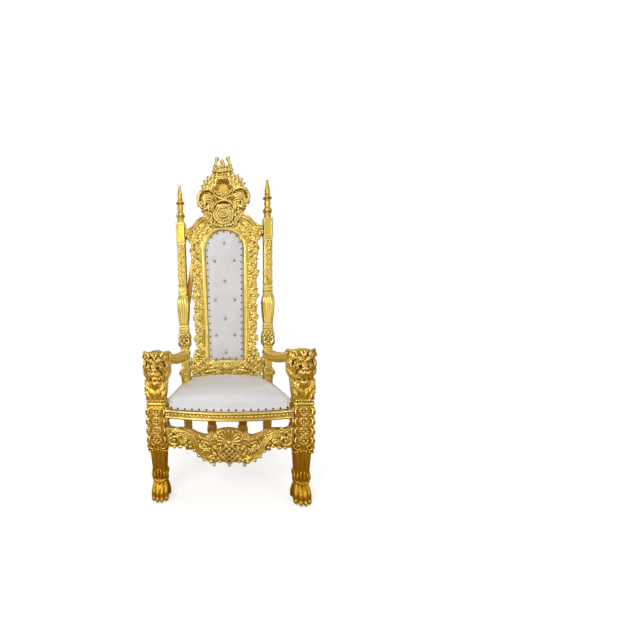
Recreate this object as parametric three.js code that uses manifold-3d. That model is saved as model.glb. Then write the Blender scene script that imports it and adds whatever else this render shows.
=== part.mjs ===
// A gilded lion throne with a tall raked back, in millimetres, +Z up, the sitter facing -Y.
// Each separate piece of joinery or upholstery is one closed, named mesh.
import * as THREE from 'three';
import { mergeVertices } from 'three/addons/utils/BufferGeometryUtils.js';
import Module from 'manifold-3d';

const wasm = await Module();
wasm.setup();

// ---------------------------------------------------------------- driving dimensions
const JOINT = 0.3; // open line left between pieces that touch

// Seat
const RAIL_BOTTOM = 430; // front rail, which carries the mouldings
const RAIL_TOP = 474;
const RAIL_THICK = 44;
const RAIL_END_Y = -279; // front face of the front rail where it meets the legs
const RAIL_BOW = 42; // how far the middle of the front rail swells forward
const SIDE_RAIL_BOTTOM = 400;
const REAR_RAIL_TOP = 500;
const SEAT_HALF_FRONT = 290;
const SEAT_HALF_REAR = 226;
const SEAT_REAR_Y = 258;
const SEAT_CROWN = 577;

// Front legs, each one carving from the paw to the top of the lion's head
const LEG_X = 347;
const LEG_Y = -225;
const BLOCK_HALF = 46.5;
const BLOCK_BOTTOM = 300;
const BLOCK_TOP = 490;
const CHIN_Z = 584;
const HEAD_X = 343; // the head leans a little inward and back from the leg's axis
const HEAD_Y = -214;
const HEAD_TOP = 752;
const HEAD_HALF = 69;
const FACETS = 20; // facets round a front leg, two to each of its ten flutes
const WAVES = FACETS / 2; // the finest carving that those facets can hold

// Apron between the front legs
const APRON_BACK_Y = -242;
const APRON_FACE_Y = -268;

// Raked back: a plane hinged at the seat, in which heights become lengths along the rake
const BACK_RAKE = Math.atan(0.118);
const BACK_FOOT_Y = 285.5;
const BACK_FOOT_Z = 500;
const FRAME_THICK = 50;
const POST_DEPTH = 28; // the posts' centre line behind the face of the back
const POST_FOOT_X = 260;
const POST_SPLAY = 0.0133; // outward lean of the posts
const POST_BLOCK_TOP = 1478;
const FINIAL_TIP = 1724;
const REAR_LEG_X = 256;
const REAR_LEG_Y = 334;

// Upholstered panel in the back
const PANEL_FOOT_HALF = 105.5;
const PANEL_HALF = 117;
const PANEL_FOOT_Z = 602;
const PANEL_SPRING_Z = 1296; // where the sides turn into the arch
const PANEL_FACE = -12; // the panel's face, forward of the plane of the back

// Arms
const ARM_HALF_WIDTH = 27;

// Carved planks: the facets' size on the carved face, finer where the carving is finer
const FRAME_CELL = 31;
const CREST_CELL = 19;
const APRON_CELL = 22;
const CREST_THICK = 38;

// ---------------------------------------------------------------- colours
const gilding = { color: 0xd4a02c, roughness: 0.3, metalness: 0.9 };
const leather = { color: 0xe6e2e0, roughness: 0.5, metalness: 0 };
const crystal = { color: 0xf2f4f6, roughness: 0.05, metalness: 0 };

// ---------------------------------------------------------------- mesh helpers
const bump = (t) => Math.exp(-t * t); // a soft rise one unit wide
const between = THREE.MathUtils.mapLinear;
const along = (z) => (z - BACK_FOOT_Z) / Math.cos(BACK_RAKE); // a height as a length up the back

function indexed(points, faces) {
  const geometry = new THREE.BufferGeometry();
  geometry.setAttribute('position', new THREE.Float32BufferAttribute(points.flat(), 3));
  geometry.setIndex(faces);
  return geometry;
}

// A closed skin over rings of equal count, each counter-clockwise seen from the end it runs to.
function loft(rings) {
  const count = rings[0].length;
  const last = (rings.length - 1) * count;
  const centre = (ring) => [0, 1, 2].map((axis) => ring.reduce((sum, p) => sum + p[axis], 0) / count);
  const points = [...rings.flat(), centre(rings[0]), centre(rings.at(-1))];
  const faces = [];
  for (let i = 0; i < count; i += 1) {
    const next = (i + 1) % count;
    for (let base = 0; base < last; base += count) {
      faces.push(base + i, base + next, base + count + next);
      faces.push(base + i, base + count + next, base + count + i);
    }
    faces.push(last + count, next, i, last + count + 1, last + i, last + next);
  }
  return indexed(points, faces);
}

function toSolid(geometry) {
  const bare = geometry.clone();
  bare.deleteAttribute('normal');
  bare.deleteAttribute('uv');
  const merged = mergeVertices(bare, 1e-3);
  const faces = [];
  for (let i = 0; i < merged.index.count; i += 3) {
    const [a, b, c] = [0, 1, 2].map((k) => merged.index.getX(i + k));
    if (a !== b && b !== c && c !== a) faces.push(a, b, c);
  }
  const vertProperties = new Float32Array(merged.attributes.position.array);
  return new wasm.Manifold(new wasm.Mesh({ numProp: 3, vertProperties, triVerts: new Uint32Array(faces) }));
}

function toGeometry(solid) {
  const mesh = solid.getMesh();
  const geometry = new THREE.BufferGeometry();
  geometry.setAttribute('position', new THREE.BufferAttribute(mesh.vertProperties, 3));
  geometry.setIndex(new THREE.BufferAttribute(mesh.triVerts, 1));
  return geometry;
}

const fuse = (geometries) => toGeometry(geometries.map(toSolid).reduce((all, one) => all.add(one)));
const moved = (geometry, x, y, z) => geometry.clone().translate(x, y, z);

function mirrored(geometry) {
  const flipped = toSolid(geometry).mirror([1, 0, 0]);
  return toGeometry(flipped);
}

// One level of an upright: a superellipse, squarer as power grows. Angle 0 faces the front.
function level(centre, half, power, facets, carving = () => 0) {
  const ring = [];
  for (let i = 0; i < facets; i += 1) {
    const angle = (2 * Math.PI * i) / facets;
    const forward = Math.cos(angle);
    const aside = Math.sin(angle);
    const depth = forward > 0 ? half.front : half.back;
    const round = (Math.abs(forward) / depth) ** power + (Math.abs(aside) / half.side) ** power;
    const reach = round ** (-1 / power) + carving(angle);
    ring.push([centre.x + aside * reach, centre.y - forward * reach, centre.z]);
  }
  return ring;
}

// ---------------------------------------------------------------- front legs and lions
const legLevel = (z, side, front, back, power, carving) =>
  level({ x: LEG_X, y: LEG_Y, z }, { side, front, back }, power, FACETS, carving);
const flutes = (depth) => (angle) => depth * (Math.cos(WAVES * angle) - 1);

function pawLevels() {
  const toes = (depth) => (angle) => (Math.cos(angle) > 0.5 ? -depth * Math.cos(WAVES * angle) : 0);
  return [
    legLevel(0, 43, 50, 44, 3, toes(2)),
    legLevel(12, 49, 58, 46, 3, toes(4)),
    legLevel(34, 50, 57, 46, 3, toes(5)),
    legLevel(54, 47, 49, 42, 3, toes(4)),
    legLevel(72, 40, 40, 38, 2.5, toes(1)),
    legLevel(92, 35, 34, 34, 2.5),
  ];
}

function shaftLevels() {
  return [
    legLevel(100, 39, 38, 38, 2.5, flutes(2)),
    legLevel(124, 36, 35, 35, 3),
    legLevel(130, 37, 36, 36, 5, flutes(2)),
    legLevel(254, 43, 42, 42, 5, flutes(2)),
    legLevel(257, 46, 46, 46, 4, flutes(2)),
    legLevel(274, 51, 51, 49, 4, flutes(2.5)),
    legLevel(296, 49, 49, 48, 4, flutes(2)),
    legLevel(BLOCK_BOTTOM, BLOCK_HALF, BLOCK_HALF, BLOCK_HALF, 8),
    legLevel(BLOCK_TOP - 2, BLOCK_HALF, BLOCK_HALF, BLOCK_HALF, 8),
  ];
}

function chestLevels() {
  const pelt = (depth) => (angle) => depth * (bump(angle / 0.5) - 0.4 + 0.4 * Math.cos(6 * angle));
  return [
    legLevel(BLOCK_TOP, 44, 44, 44, 5),
    legLevel(BLOCK_TOP + 4, 50, 50, 48, 5),
    legLevel(BLOCK_TOP + 16, 50, 50, 48, 5),
    legLevel(BLOCK_TOP + 20, 46, 44, 46, 4),
    legLevel(536, 52, 50, 48, 3.5, pelt(5)),
    legLevel(562, 55, 48, 50, 3, pelt(3)),
  ];
}

// The face stands forward of a mane of locks, its features set by angle and height.
function headLevels() {
  const degrees = (angle) => THREE.MathUtils.radToDeg(Math.acos(Math.cos(angle)));
  const features = (z) => (angle) => {
    const turn = degrees(angle);
    const muzzle = 30 * bump(turn / 24) * bump((z - 650) / 22);
    const nose = 9 * bump(turn / 12) * bump((z - 668) / 12);
    const brow = 12 * bump((turn - 18) / 12) * bump((z - 708) / 10);
    const eye = -9 * bump((turn - 22) / 9) * bump((z - 692) / 8);
    const mouth = -16 * bump(turn / 18) * bump((z - 622) / 8);
    const chin = 16 * bump(turn / 18) * bump((z - 604) / 10);
    const cheek = -6 * bump((turn - 50) / 8) * bump((z - 660) / 55);
    const locks = turn > 55 ? 4.5 * Math.cos(WAVES * angle + z / 9) * bump((z - 660) / 75) : 0;
    const ear = 10 * bump((turn - 62) / 10) * bump((z - 730) / 9);
    return muzzle + nose + brow + eye + mouth + chin + cheek + locks + ear;
  };
  const shape = [
    // height, half width, front, back
    [CHIN_Z, 58, 42, 62], [604, 64, 46, 70], [622, 67, 48, 76], [638, 68, 48, 80], [654, HEAD_HALF, 48, 84],
    [668, HEAD_HALF, 48, 86], [690, 68, 46, 86], [708, 67, 42, 85], [730, 60, 35, 79],
    [744, 46, 24, 64], [HEAD_TOP, 22, 8, 36],
  ];
  return shape.map(([z, side, front, back]) =>
    level({ x: HEAD_X, y: HEAD_Y, z }, { side, front, back }, 2.6, FACETS, features(z)));
}

// A column of round flowers down the front of the block.
function rosettes() {
  const count = 4;
  const radius = 20;
  const height = 6;
  return Array.from({ length: count }, (_, k) => {
    const flower = new THREE.CylinderGeometry(radius, radius * 0.6, height, 8).rotateX(Math.PI / 2);
    const z = between(k, 0, count - 1, BLOCK_BOTTOM + 27, BLOCK_TOP - 27);
    return moved(flower, LEG_X, LEG_Y - BLOCK_HALF - height / 2 + 1, z);
  });
}

function frontLeg() {
  return fuse([loft([...pawLevels(), ...shaftLevels(), ...chestLevels(), ...headLevels()]), ...rosettes()]);
}

// ---------------------------------------------------------------- back posts and finials
// A point of the back, given across, behind its face and up its rake, in the throne's frame.
function onBack(x, depth, up) {
  const lean = Math.sin(BACK_RAKE);
  const rise = Math.cos(BACK_RAKE);
  return [x, BACK_FOOT_Y + depth * rise + up * lean, BACK_FOOT_Z - depth * lean + up * rise];
}

const postX = (up) => POST_FOOT_X + POST_SPLAY * up;

// A square with its corners taken off, as [x, y] pairs about a centre.
function bevelledSquare(x, y, half) {
  const flat = half - 4;
  const corner = [[-flat, -half], [flat, -half], [half, -flat], [half, flat]];
  return [...corner, ...corner.map(([dx, dy]) => [-dx, -dy])].map(([dx, dy]) => [x + dx, y + dy]);
}

function postLevel(z, half) {
  const up = along(z);
  return bevelledSquare(postX(up), POST_DEPTH, half).map(([x, depth]) => onBack(x, depth, up));
}

function backPost() {
  const legLevels = [[0, 0, 24], [150, -6, 25], [300, -15, 28], [484, -20, 28]].map(([z, shift, half]) =>
    bevelledSquare(REAR_LEG_X + z / 130, REAR_LEG_Y + shift, half).map(([x, y]) => [x, y, z]));
  const seatToArm = [[500, 31], [540, 32], [552, 27], [562, 24], [618, 26], [626, 29], [666, 29], [676, 23]];
  const capitalAndVase = [[690, 29], [784, 33], [788, 28], [806, 31], [824, 28], [836, 31], [900, 36], [963, 40],
    [1000, 36], [1022, 26]];
  const column = [[1060, 28], [1066, 25], [1338, 25], [1344, 28], [1352, 29], [POST_BLOCK_TOP, 29]];
  const uprights = [...seatToArm, ...capitalAndVase, ...column].map(([z, half]) => postLevel(z, half));
  const curl = (x, y, z, radius) => moved(new THREE.CylinderGeometry(radius, radius, 44, 9), x, y, z);
  const onPost = (x, z, radius) => curl(x, onBack(x, POST_DEPTH, along(z))[1], z, radius);
  const curls = [onPost(286, 524, 17), onPost(236, 750, 15), curl(272, REAR_LEG_Y - 9, 215, 18)];
  return fuse([loft([...legLevels, ...uprights]), ...curls]);
}

// A turned spire over two rings, standing in the rake of the back.
function finial() {
  const base = POST_BLOCK_TOP;
  const profile = [[0, base], [25, base], [22, 1501], [19, 1510], [28, 1523], [28, 1536], [17, 1548], [17, 1561],
    [20, 1576], [15, 1591], [28, 1606], [14, 1621], [14, 1642], [17, 1648], [6, 1710], [0, FINIAL_TIP]];
  const points = profile.map(([radius, z]) => new THREE.Vector2(radius, along(z) - along(base)));
  return new THREE.LatheGeometry(points, 8).rotateX(Math.PI / 2);
}

// ---------------------------------------------------------------- arms
function arm(legSolid, postSolid) {
  const route = new THREE.CatmullRomCurve3([
    new THREE.Vector3(262, 325, 640),
    new THREE.Vector3(268, 250, 640),
    new THREE.Vector3(296, 130, 648),
    new THREE.Vector3(326, 0, 676),
    new THREE.Vector3(340, -100, 703),
    new THREE.Vector3(343, -180, 712),
  ]);
  const steps = 6;
  const sides = 8;
  const rings = [];
  for (let k = 0; k <= steps; k += 1) {
    const t = k / steps;
    const centre = route.getPoint(t);
    const tangent = route.getTangent(t).setZ(0).normalize();
    const across = new THREE.Vector3(tangent.y, -tangent.x, 0);
    const halfHeight = between(t, 0, 1, 33, 22);
    const ring = [];
    for (let i = 0; i < sides; i += 1) {
      const angle = (2 * Math.PI * (i + 0.5)) / sides;
      const round = (Math.abs(Math.cos(angle)) ** 3 + Math.abs(Math.sin(angle)) ** 3) ** (-1 / 3);
      const aside = ARM_HALF_WIDTH * round * Math.cos(angle);
      const rise = halfHeight * round * Math.sin(angle);
      ring.push([centre.x + across.x * aside, centre.y + across.y * aside, centre.z + rise]);
    }
    rings.push(ring.reverse());
  }
  const bar = toSolid(loft(rings));
  const clear = bar.subtract(legSolid.translate([0, JOINT, 0])).subtract(postSolid.translate([0, -JOINT, 0]));
  const pieces = clear.decompose();
  return toGeometry(pieces.reduce((best, piece) => (piece.volume() > best.volume() ? piece : best)));
}

// ---------------------------------------------------------------- carved planks
// A plank cut to an outline in the XZ plane, its front standing forward by relief(x, z).
function carvedPlank(shape, cell, back, relief) {
  const reach = 200;
  const blank = new THREE.ExtrudeGeometry(shape, { depth: back + reach, bevelEnabled: false });
  blank.rotateX(Math.PI / 2).translate(0, back, 0);
  blank.computeBoundingBox();
  const { min, max } = blank.boundingBox;
  const columns = Math.ceil((max.x - min.x) / cell) + 1;
  const rows = Math.ceil((max.z - min.z) / cell) + 1;
  const points = [];
  const faces = [];
  const total = (columns + 1) * (rows + 1);
  for (const side of [0, 1]) {
    for (let j = 0; j <= rows; j += 1) {
      for (let i = 0; i <= columns; i += 1) {
        const x = (i - columns / 2) * cell + (min.x + max.x) / 2;
        const z = (j - rows / 2) * cell + (min.z + max.z) / 2;
        points.push([x, side ? reach : -relief(x, z), z]);
      }
    }
  }
  const at = (i, j, side) => side * total + j * (columns + 1) + i;
  const quad = (a, b, c, d) => faces.push(a, b, c, a, c, d);
  for (let j = 0; j < rows; j += 1) {
    for (let i = 0; i < columns; i += 1) {
      quad(at(i, j, 0), at(i + 1, j, 0), at(i + 1, j + 1, 0), at(i, j + 1, 0));
      quad(at(i, j, 1), at(i, j + 1, 1), at(i + 1, j + 1, 1), at(i + 1, j, 1));
    }
    quad(at(0, j, 0), at(0, j + 1, 0), at(0, j + 1, 1), at(0, j, 1));
    quad(at(columns, j, 0), at(columns, j, 1), at(columns, j + 1, 1), at(columns, j + 1, 0));
  }
  for (let i = 0; i < columns; i += 1) {
    quad(at(i, 0, 0), at(i, 0, 1), at(i + 1, 0, 1), at(i + 1, 0, 0));
    quad(at(i, rows, 0), at(i + 1, rows, 0), at(i + 1, rows, 1), at(i, rows, 1));
  }
  return toSolid(indexed(points, faces)).intersect(toSolid(blank));
}

// Both halves of a symmetrical outline from its right half, bottom to top.
function symmetricOutline(half) {
  const left = half.map(([x, z]) => [-x, z]).reverse().filter(([x]) => x < 0);
  return [...half, ...left].map(([x, z]) => new THREE.Vector2(x, z));
}

// The panel's outline, grown outward by spread: straight tapered sides under a round arch.
function panelOutline(spread) {
  const steps = 9;
  const half = PANEL_HALF + spread;
  const foot = PANEL_FOOT_HALF + spread;
  const bottom = PANEL_FOOT_Z - spread;
  const points = [[0, along(bottom + 8)], [foot - 40, along(bottom + 1)], [foot - 14, along(bottom)],
    [foot, along(bottom + 14)]];
  for (let k = 0; k <= steps; k += 1) {
    const angle = (Math.PI / 2) * (k / steps);
    points.push([half * Math.cos(angle), along(PANEL_SPRING_Z) + half * Math.sin(angle)]);
  }
  return symmetricOutline(points);
}

// How far a point of the back lies outside the panel's edge.
function outsidePanel(x, up) {
  const springs = along(PANEL_SPRING_Z);
  if (up > springs) return Math.hypot(x, up - springs) - PANEL_HALF;
  const half = between(up, along(PANEL_FOOT_Z), springs, PANEL_FOOT_HALF, PANEL_HALF);
  return Math.max(Math.abs(x) - half, along(PANEL_FOOT_Z) - up);
}

// ---------------------------------------------------------------- back frame
const CREST_ARC = [[108, 1500], [90, 1473], [60, 1451], [30, 1442], [0, 1439]];

function frameOutline() {
  const leafEdge = [];
  const leaves = 9;
  for (let k = 0; k <= leaves * 2; k += 1) {
    const z = between(k, 0, leaves * 2, 690, 1320);
    const waist = between(z, 690, 1320, 181, 203);
    leafEdge.push([waist + (k % 2 ? 5 : -3), z]);
  }
  const inner = (z) => postX(along(z)) - JOINT;
  const half = [
    [0, 508], [150, 508], [196, 514], [221, 546], [inner(574) - 27, 574], [inner(592) - 27, 592], [208, 618],
    [192, 655], ...leafEdge,
    [208, 1346], [222, 1368], [inner(1384) - 29, 1384], [inner(1438) - 29, 1438],
    [223, 1437], [206, 1446], [190, 1462], [172, 1484], [151, 1500], [128, 1510], ...CREST_ARC,
  ];
  return symmetricOutline(half.map(([x, z]) => [x, along(z)]));
}

function frameRelief(x, up) {
  const outside = outsidePanel(x, up);
  const bead = 9 * bump((outside - 10) / 9);
  if (outside < 22) return 2 + bead;
  const across = Math.abs(x);
  const shoulder = up > along(1330) && across > 120;
  if (shoulder) return 6 + 5 * Math.cos((outside - 40) / 9);
  const wave = Math.cos((2 * Math.PI * (up - along(690))) / 70);
  const scroll = 10 * bump((outside - 46 - 12 * wave) / 14);
  const leaf = 3 * Math.cos((2 * Math.PI * (up + across)) / 50);
  return 4 + scroll + leaf;
}

function backFrame() {
  const shape = new THREE.Shape(frameOutline());
  shape.holes.push(new THREE.Path(panelOutline(0)));
  return toGeometry(carvedPlank(shape, FRAME_CELL, FRAME_THICK, frameRelief));
}

// ---------------------------------------------------------------- crest
const PRONG_X = 34;
const PRONG_BALL_Z = 1861;
const PRONG_BALL_RADIUS = 12;

function crestOutline() {
  const arc = CREST_ARC.toReversed().map(([x, z]) => [x, z + JOINT + 0.2]);
  const wing = [[128, 1513], [124, 1526], [141, 1544], [157, 1574], [167, 1606], [165, 1636], [159, 1654],
    [165, 1662], [150, 1667], [145, 1680], [133, 1679]];
  const leaves = [[119, 1692], [121, 1714], [108, 1716], [99, 1744], [86, 1757], [75, 1746], [66, 1752]];
  const crown = [[62, 1790], [56, 1814], [45, 1856], [27, 1856], [23, 1812], [9, 1815], [9, 1838], [0, 1850]];
  return symmetricOutline([...arc, ...wing, ...leaves, ...crown].map(([x, z]) => [x, along(z)]));
}

function crestRelief(x, up) {
  const across = Math.abs(x);
  const from = (cx, z) => Math.hypot(across - cx, up - along(z));
  const turn = (cx, z) => Math.atan2(across - cx, up - along(z));
  const wing = 24 * bump((from(112, 1602) - 40) / 12) + 20 * bump(from(112, 1602) / 15);
  const flower = (20 + 5 * Math.cos(5 * turn(0, 1512))) * bump(from(0, 1512) / 26);
  const surround = 18 * bump((from(0, 1512) - 56) / 10);
  const above = up > along(1560) ? 1 : 0;
  const fan = above * 18 * bump((from(0, 1560) - 45) / 15) * (1 + 0.3 * Math.cos(12 * turn(0, 1560)));
  const hollow = -8 * bump(from(0, 1668) / 22);
  const spray = 12 * bump((from(40, 1640) - 75) / 24) * (1 + 0.7 * Math.cos(12 * turn(40, 1640)));
  const band = 12 * bump((up - along(1766)) / 10) + 9 * bump((up - along(1802)) / 9);
  return 6 + Math.max(wing, flower, surround, fan, spray, band) + hollow;
}

function crest() {
  const plank = carvedPlank(new THREE.Shape(crestOutline()), CREST_CELL, CREST_THICK, crestRelief);
  const balls = [-PRONG_X, PRONG_X, 0].map((x) => {
    const radius = x ? PRONG_BALL_RADIUS : PRONG_BALL_RADIUS - 2;
    const ball = new THREE.SphereGeometry(radius, 8, 6).rotateX(Math.PI / 2);
    return toSolid(moved(ball, x, 14, along(x ? PRONG_BALL_Z : PRONG_BALL_Z - 9)));
  });
  return toGeometry(balls.reduce((all, ball) => all.add(ball), plank));
}

// ---------------------------------------------------------------- apron
function apronOutline() {
  const end = LEG_X - BLOCK_HALF - JOINT;
  const under = [[0, 190], [17, 209], [46, 212], [66, 208], [76, 197], [88, 212], [124, 218], [148, 238],
    [170, 268], [187, 286], [206, 295], [232, 282], [264, 283]];
  const over = [[264, 377], [208, 377], [178, 370], [149, 353], [116, 342], [98, 344], [82, 361], [68, 356],
    [54, 369], [30, 375], [0, 378]];
  const besideSkirt = [[end - 6, 284], [end - 6, BLOCK_BOTTOM + 2]];
  const half = [...under, ...besideSkirt, [end, BLOCK_BOTTOM + 2], [end, 392], ...over];
  return symmetricOutline(half);
}

function apronRelief(x, z) {
  const across = Math.abs(x);
  const from = (cx, cz) => Math.hypot(across - cx, z - cz);
  const diamond = across / 46 + Math.abs(z - 258) / 54;
  const lattice = diamond < 1 ? 10 : 0;
  const ribs = 1 + 0.4 * Math.cos(14 * Math.atan2(across, z - 315));
  const fan = z > 315 ? 10 * bump((from(0, 315) - 36) / 16) * ribs : 0;
  const spine = 326 + 28 * Math.sin(((across - 110) / 180) * Math.PI);
  const frond = across > 60 ? 12 * bump((z - spine) / 13) + 8 * bump((z - spine + 34) / 10) : 0;
  const flower = 11 * bump(from(92, 258) / 22);
  const volute = 11 * bump((from(258, 332) - 26) / 11);
  const collar = 6 * bump((across - 292) / 8);
  return lattice + fan + frond + flower + volute + collar;
}

function frontApron() {
  const thick = APRON_BACK_Y - APRON_FACE_Y;
  const plank = carvedPlank(new THREE.Shape(apronOutline()), APRON_CELL, thick, apronRelief);
  return toGeometry(plank.translate([0, APRON_FACE_Y, 0]));
}

// ---------------------------------------------------------------- seat rails
const bowedY = (x) => RAIL_END_Y - RAIL_BOW * (1 - (x / SEAT_HALF_FRONT) ** 2);

// Bead, row of studs and half-round, swept along the bow.
function frontRail() {
  const end = LEG_X - BLOCK_HALF - JOINT;
  const steps = 10;
  const profile = [[RAIL_THICK, RAIL_BOTTOM], [8, RAIL_BOTTOM], [1, 434], [0, 439], [3, 444], [7, 446], [7, 460],
    [3, 463], [2, 469], [5, RAIL_TOP], [RAIL_THICK, RAIL_TOP]];
  const rings = [];
  for (let k = 0; k <= steps; k += 1) {
    const x = between(k, 0, steps, -end, end);
    rings.push(profile.map(([depth, z]) => [x, bowedY(Math.min(Math.abs(x), SEAT_HALF_FRONT)) + depth, z]));
  }
  return loft(rings.map((ring) => ring.toReversed()));
}

function sideRail() {
  const front = LEG_Y + BLOCK_HALF + JOINT;
  const rear = BACK_FOOT_Y - 1;
  const corners = [[268, front], [332, front], [272, rear], [208, rear]];
  const shape = new THREE.Shape(corners.map(([x, y]) => new THREE.Vector2(x, y)));
  const depth = RAIL_TOP - SIDE_RAIL_BOTTOM;
  return new THREE.ExtrudeGeometry(shape, { depth, bevelEnabled: false }).translate(0, 0, SIDE_RAIL_BOTTOM);
}

function rearRail() {
  const half = REAR_LEG_X - 28 - JOINT;
  const depth = 40;
  const height = REAR_RAIL_TOP - SIDE_RAIL_BOTTOM;
  return new THREE.BoxGeometry(2 * half, depth, height).translate(0, 315, SIDE_RAIL_BOTTOM + height / 2);
}

// An inner rear leg: broad at the rail, waisted, with a curl above a plain foot.
function innerRearLeg() {
  const shape = [[0, 22], [118, 24], [134, 32], [156, 32], [172, 25], [205, 30], [SIDE_RAIL_BOTTOM - JOINT, 32]];
  return loft(shape.map(([z, half]) => bevelledSquare(100, 322, half).map(([x, y]) => [x, y, z])));
}

// ---------------------------------------------------------------- upholstery
const seatHalf = (y) => between(y, RAIL_END_Y, SEAT_REAR_Y, SEAT_HALF_FRONT, SEAT_HALF_REAR);

// One level of the seat: its sides drawn in by side, its front set back and its rear ended at rear.
function seatLevel({ z, side, setBack, rear, round }) {
  const frontSteps = 10;
  const sideSteps = 5;
  const ring = [];
  for (let k = 0; k <= frontSteps; k += 1) {
    const x = between(k, 0, frontSteps, -SEAT_HALF_FRONT, SEAT_HALF_FRONT);
    ring.push([x * side, bowedY(x) + 4 + setBack, z]);
  }
  const start = ring.at(-1)[1];
  const flank = [];
  for (let k = 1; k <= sideSteps; k += 1) {
    const t = k / sideSteps;
    const y = between(t, 0, 1, start, rear);
    flank.push([seatHalf(y) * side * (1 - round * t ** 4), y, z]);
  }
  return [...ring, ...flank, [0, rear, z], ...flank.toReversed().map(([x, y]) => [-x, y, z])];
}

// Full to its sides over a steep front, then falling away to the rear.
function seatCushion() {
  const levels = [
    { z: RAIL_TOP + JOINT, side: 0.985, setBack: 4, rear: SEAT_REAR_Y - 4, round: 0 },
    { z: 486, side: 0.995, setBack: 0, rear: SEAT_REAR_Y, round: 0 },
    { z: 503, side: 0.995, setBack: 0, rear: 246, round: 0.01 },
    { z: 522, side: 0.988, setBack: 3, rear: 202, round: 0.03 },
    { z: 541, side: 0.975, setBack: 10, rear: 142, round: 0.08 },
    { z: 557, side: 0.95, setBack: 24, rear: 88, round: 0.14 },
    { z: 568, side: 0.9, setBack: 46, rear: 42, round: 0.2 },
    { z: 575, side: 0.76, setBack: 84, rear: -10, round: 0.24 },
    { z: SEAT_CROWN, side: 0.45, setBack: 120, rear: -70, round: 0.28 },
  ];
  return loft(levels.map(seatLevel));
}

// The padded panel fills the opening of the frame and stands a little proud of it.
function backCushion() {
  const layers = [[30, -JOINT], [0, -JOINT], [PANEL_FACE + 3, -3], [PANEL_FACE, -10]];
  return loft(layers.map(([depth, spread]) =>
    panelOutline(spread).map(({ x, y: up }) => [x, depth, up])));
}

function backLining() {
  const shape = new THREE.Shape(panelOutline(16));
  const plate = new THREE.ExtrudeGeometry(shape, { depth: 5, bevelEnabled: false });
  return plate.rotateX(Math.PI / 2).translate(0, FRAME_THICK + JOINT + 5, 0);
}

function backButton() {
  const profile = [[0, 0], [8, 0], [6, 5], [0, 7.5]].map(([radius, y]) => new THREE.Vector2(radius, y));
  return new THREE.LatheGeometry(profile, 6).rotateX(Math.PI);
}

// A flat brace across the rear, from the left side of the frame down to the left post.
function backBrace() {
  const from = { x: -188, z: 1330, half: 13 };
  const to = { x: -246, z: 975, half: 20 };
  const shape = new THREE.Shape([
    [from.x - from.half, from.z], [to.x - to.half, to.z], [to.x + to.half, to.z], [from.x + from.half, from.z],
  ].map(([x, z]) => new THREE.Vector2(x, along(z))));
  const thick = 18;
  const bar = new THREE.ExtrudeGeometry(shape, { depth: thick, bevelEnabled: false });
  return bar.rotateX(Math.PI / 2).translate(0, POST_DEPTH + 41 + thick, 0);
}

// ---------------------------------------------------------------- assembly
const throne = new THREE.Group();
const back = new THREE.Group();
back.position.set(0, BACK_FOOT_Y, BACK_FOOT_Z);
back.rotation.x = -BACK_RAKE;
throne.add(back);

function place(parent, name, geometry, finish, x = 0, y = 0, z = 0) {
  const mesh = new THREE.Mesh(geometry, new THREE.MeshStandardMaterial(finish));
  mesh.name = name;
  mesh.position.set(x, y, z);
  parent.add(mesh);
}

const rightLeg = frontLeg();
const rightPost = backPost();
const rightArm = arm(toSolid(rightLeg), toSolid(rightPost));
const pairs = [['front_leg', rightLeg], ['back_post', rightPost], ['arm', rightArm], ['seat_rail', sideRail()],
  ['inner_rear_leg', innerRearLeg()]];
for (const [name, geometry] of pairs) {
  place(throne, `${name}_right`, geometry, gilding);
  place(throne, `${name}_left`, mirrored(geometry), gilding);
}
place(throne, 'seat_rail_front', frontRail(), gilding);
place(throne, 'seat_rail_rear', rearRail(), gilding);
place(throne, 'apron_front', frontApron(), gilding);
place(throne, 'seat_cushion', seatCushion(), leather);

place(back, 'back_frame', backFrame(), gilding);
place(back, 'crest', crest(), gilding);
place(back, 'back_brace', backBrace(), gilding);
place(back, 'back_cushion', backCushion(), leather);
place(back, 'back_lining', backLining(), leather);
const finialUp = along(POST_BLOCK_TOP) + JOINT;
place(back, 'finial_right', finial(), gilding, postX(finialUp), POST_DEPTH, finialUp);
place(back, 'finial_left', finial(), gilding, -postX(finialUp), POST_DEPTH, finialUp);

const buttonRows = [[1332, 0], [1223, 60], [1097, 0], [980, 60], [864, 0], [760, 57], [653, 0]];
const buttonSpots = buttonRows.flatMap(([z, x]) => (x ? [[-x, z], [x, z]] : [[x, z]]));
buttonSpots.forEach(([x, z], k) => {
  const name = `button_${String(k + 1).padStart(2, '0')}`;
  place(back, name, backButton(), crystal, x, PANEL_FACE - JOINT, along(z));
});

// The origin is the middle of the footprint box, on the floor.
const box = new THREE.Box3().setFromObject(throne, true);
throne.position.set(-(box.min.x + box.max.x) / 2, -(box.min.y + box.max.y) / 2, -box.min.z);
throne.updateMatrixWorld(true);

export default throne;
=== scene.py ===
# %% [markdown]
# # A gilded lion throne
#
# The CAD model gives the size and the place of every piece. Here each piece is made again
# as a carver, a gilder and an upholsterer would leave it. Carved wood is built the way that
# a carver lays it out: a plain blank first, then raised strokes, balls and leaves on it, all
# fused into one skin. The pads are closed forms that are filled with air in a simulation.

# %% Load the frame
import math

import bpy
import numpy as np
from mathutils import Matrix, Vector
from mathutils.geometry import tessellate_polygon


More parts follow.
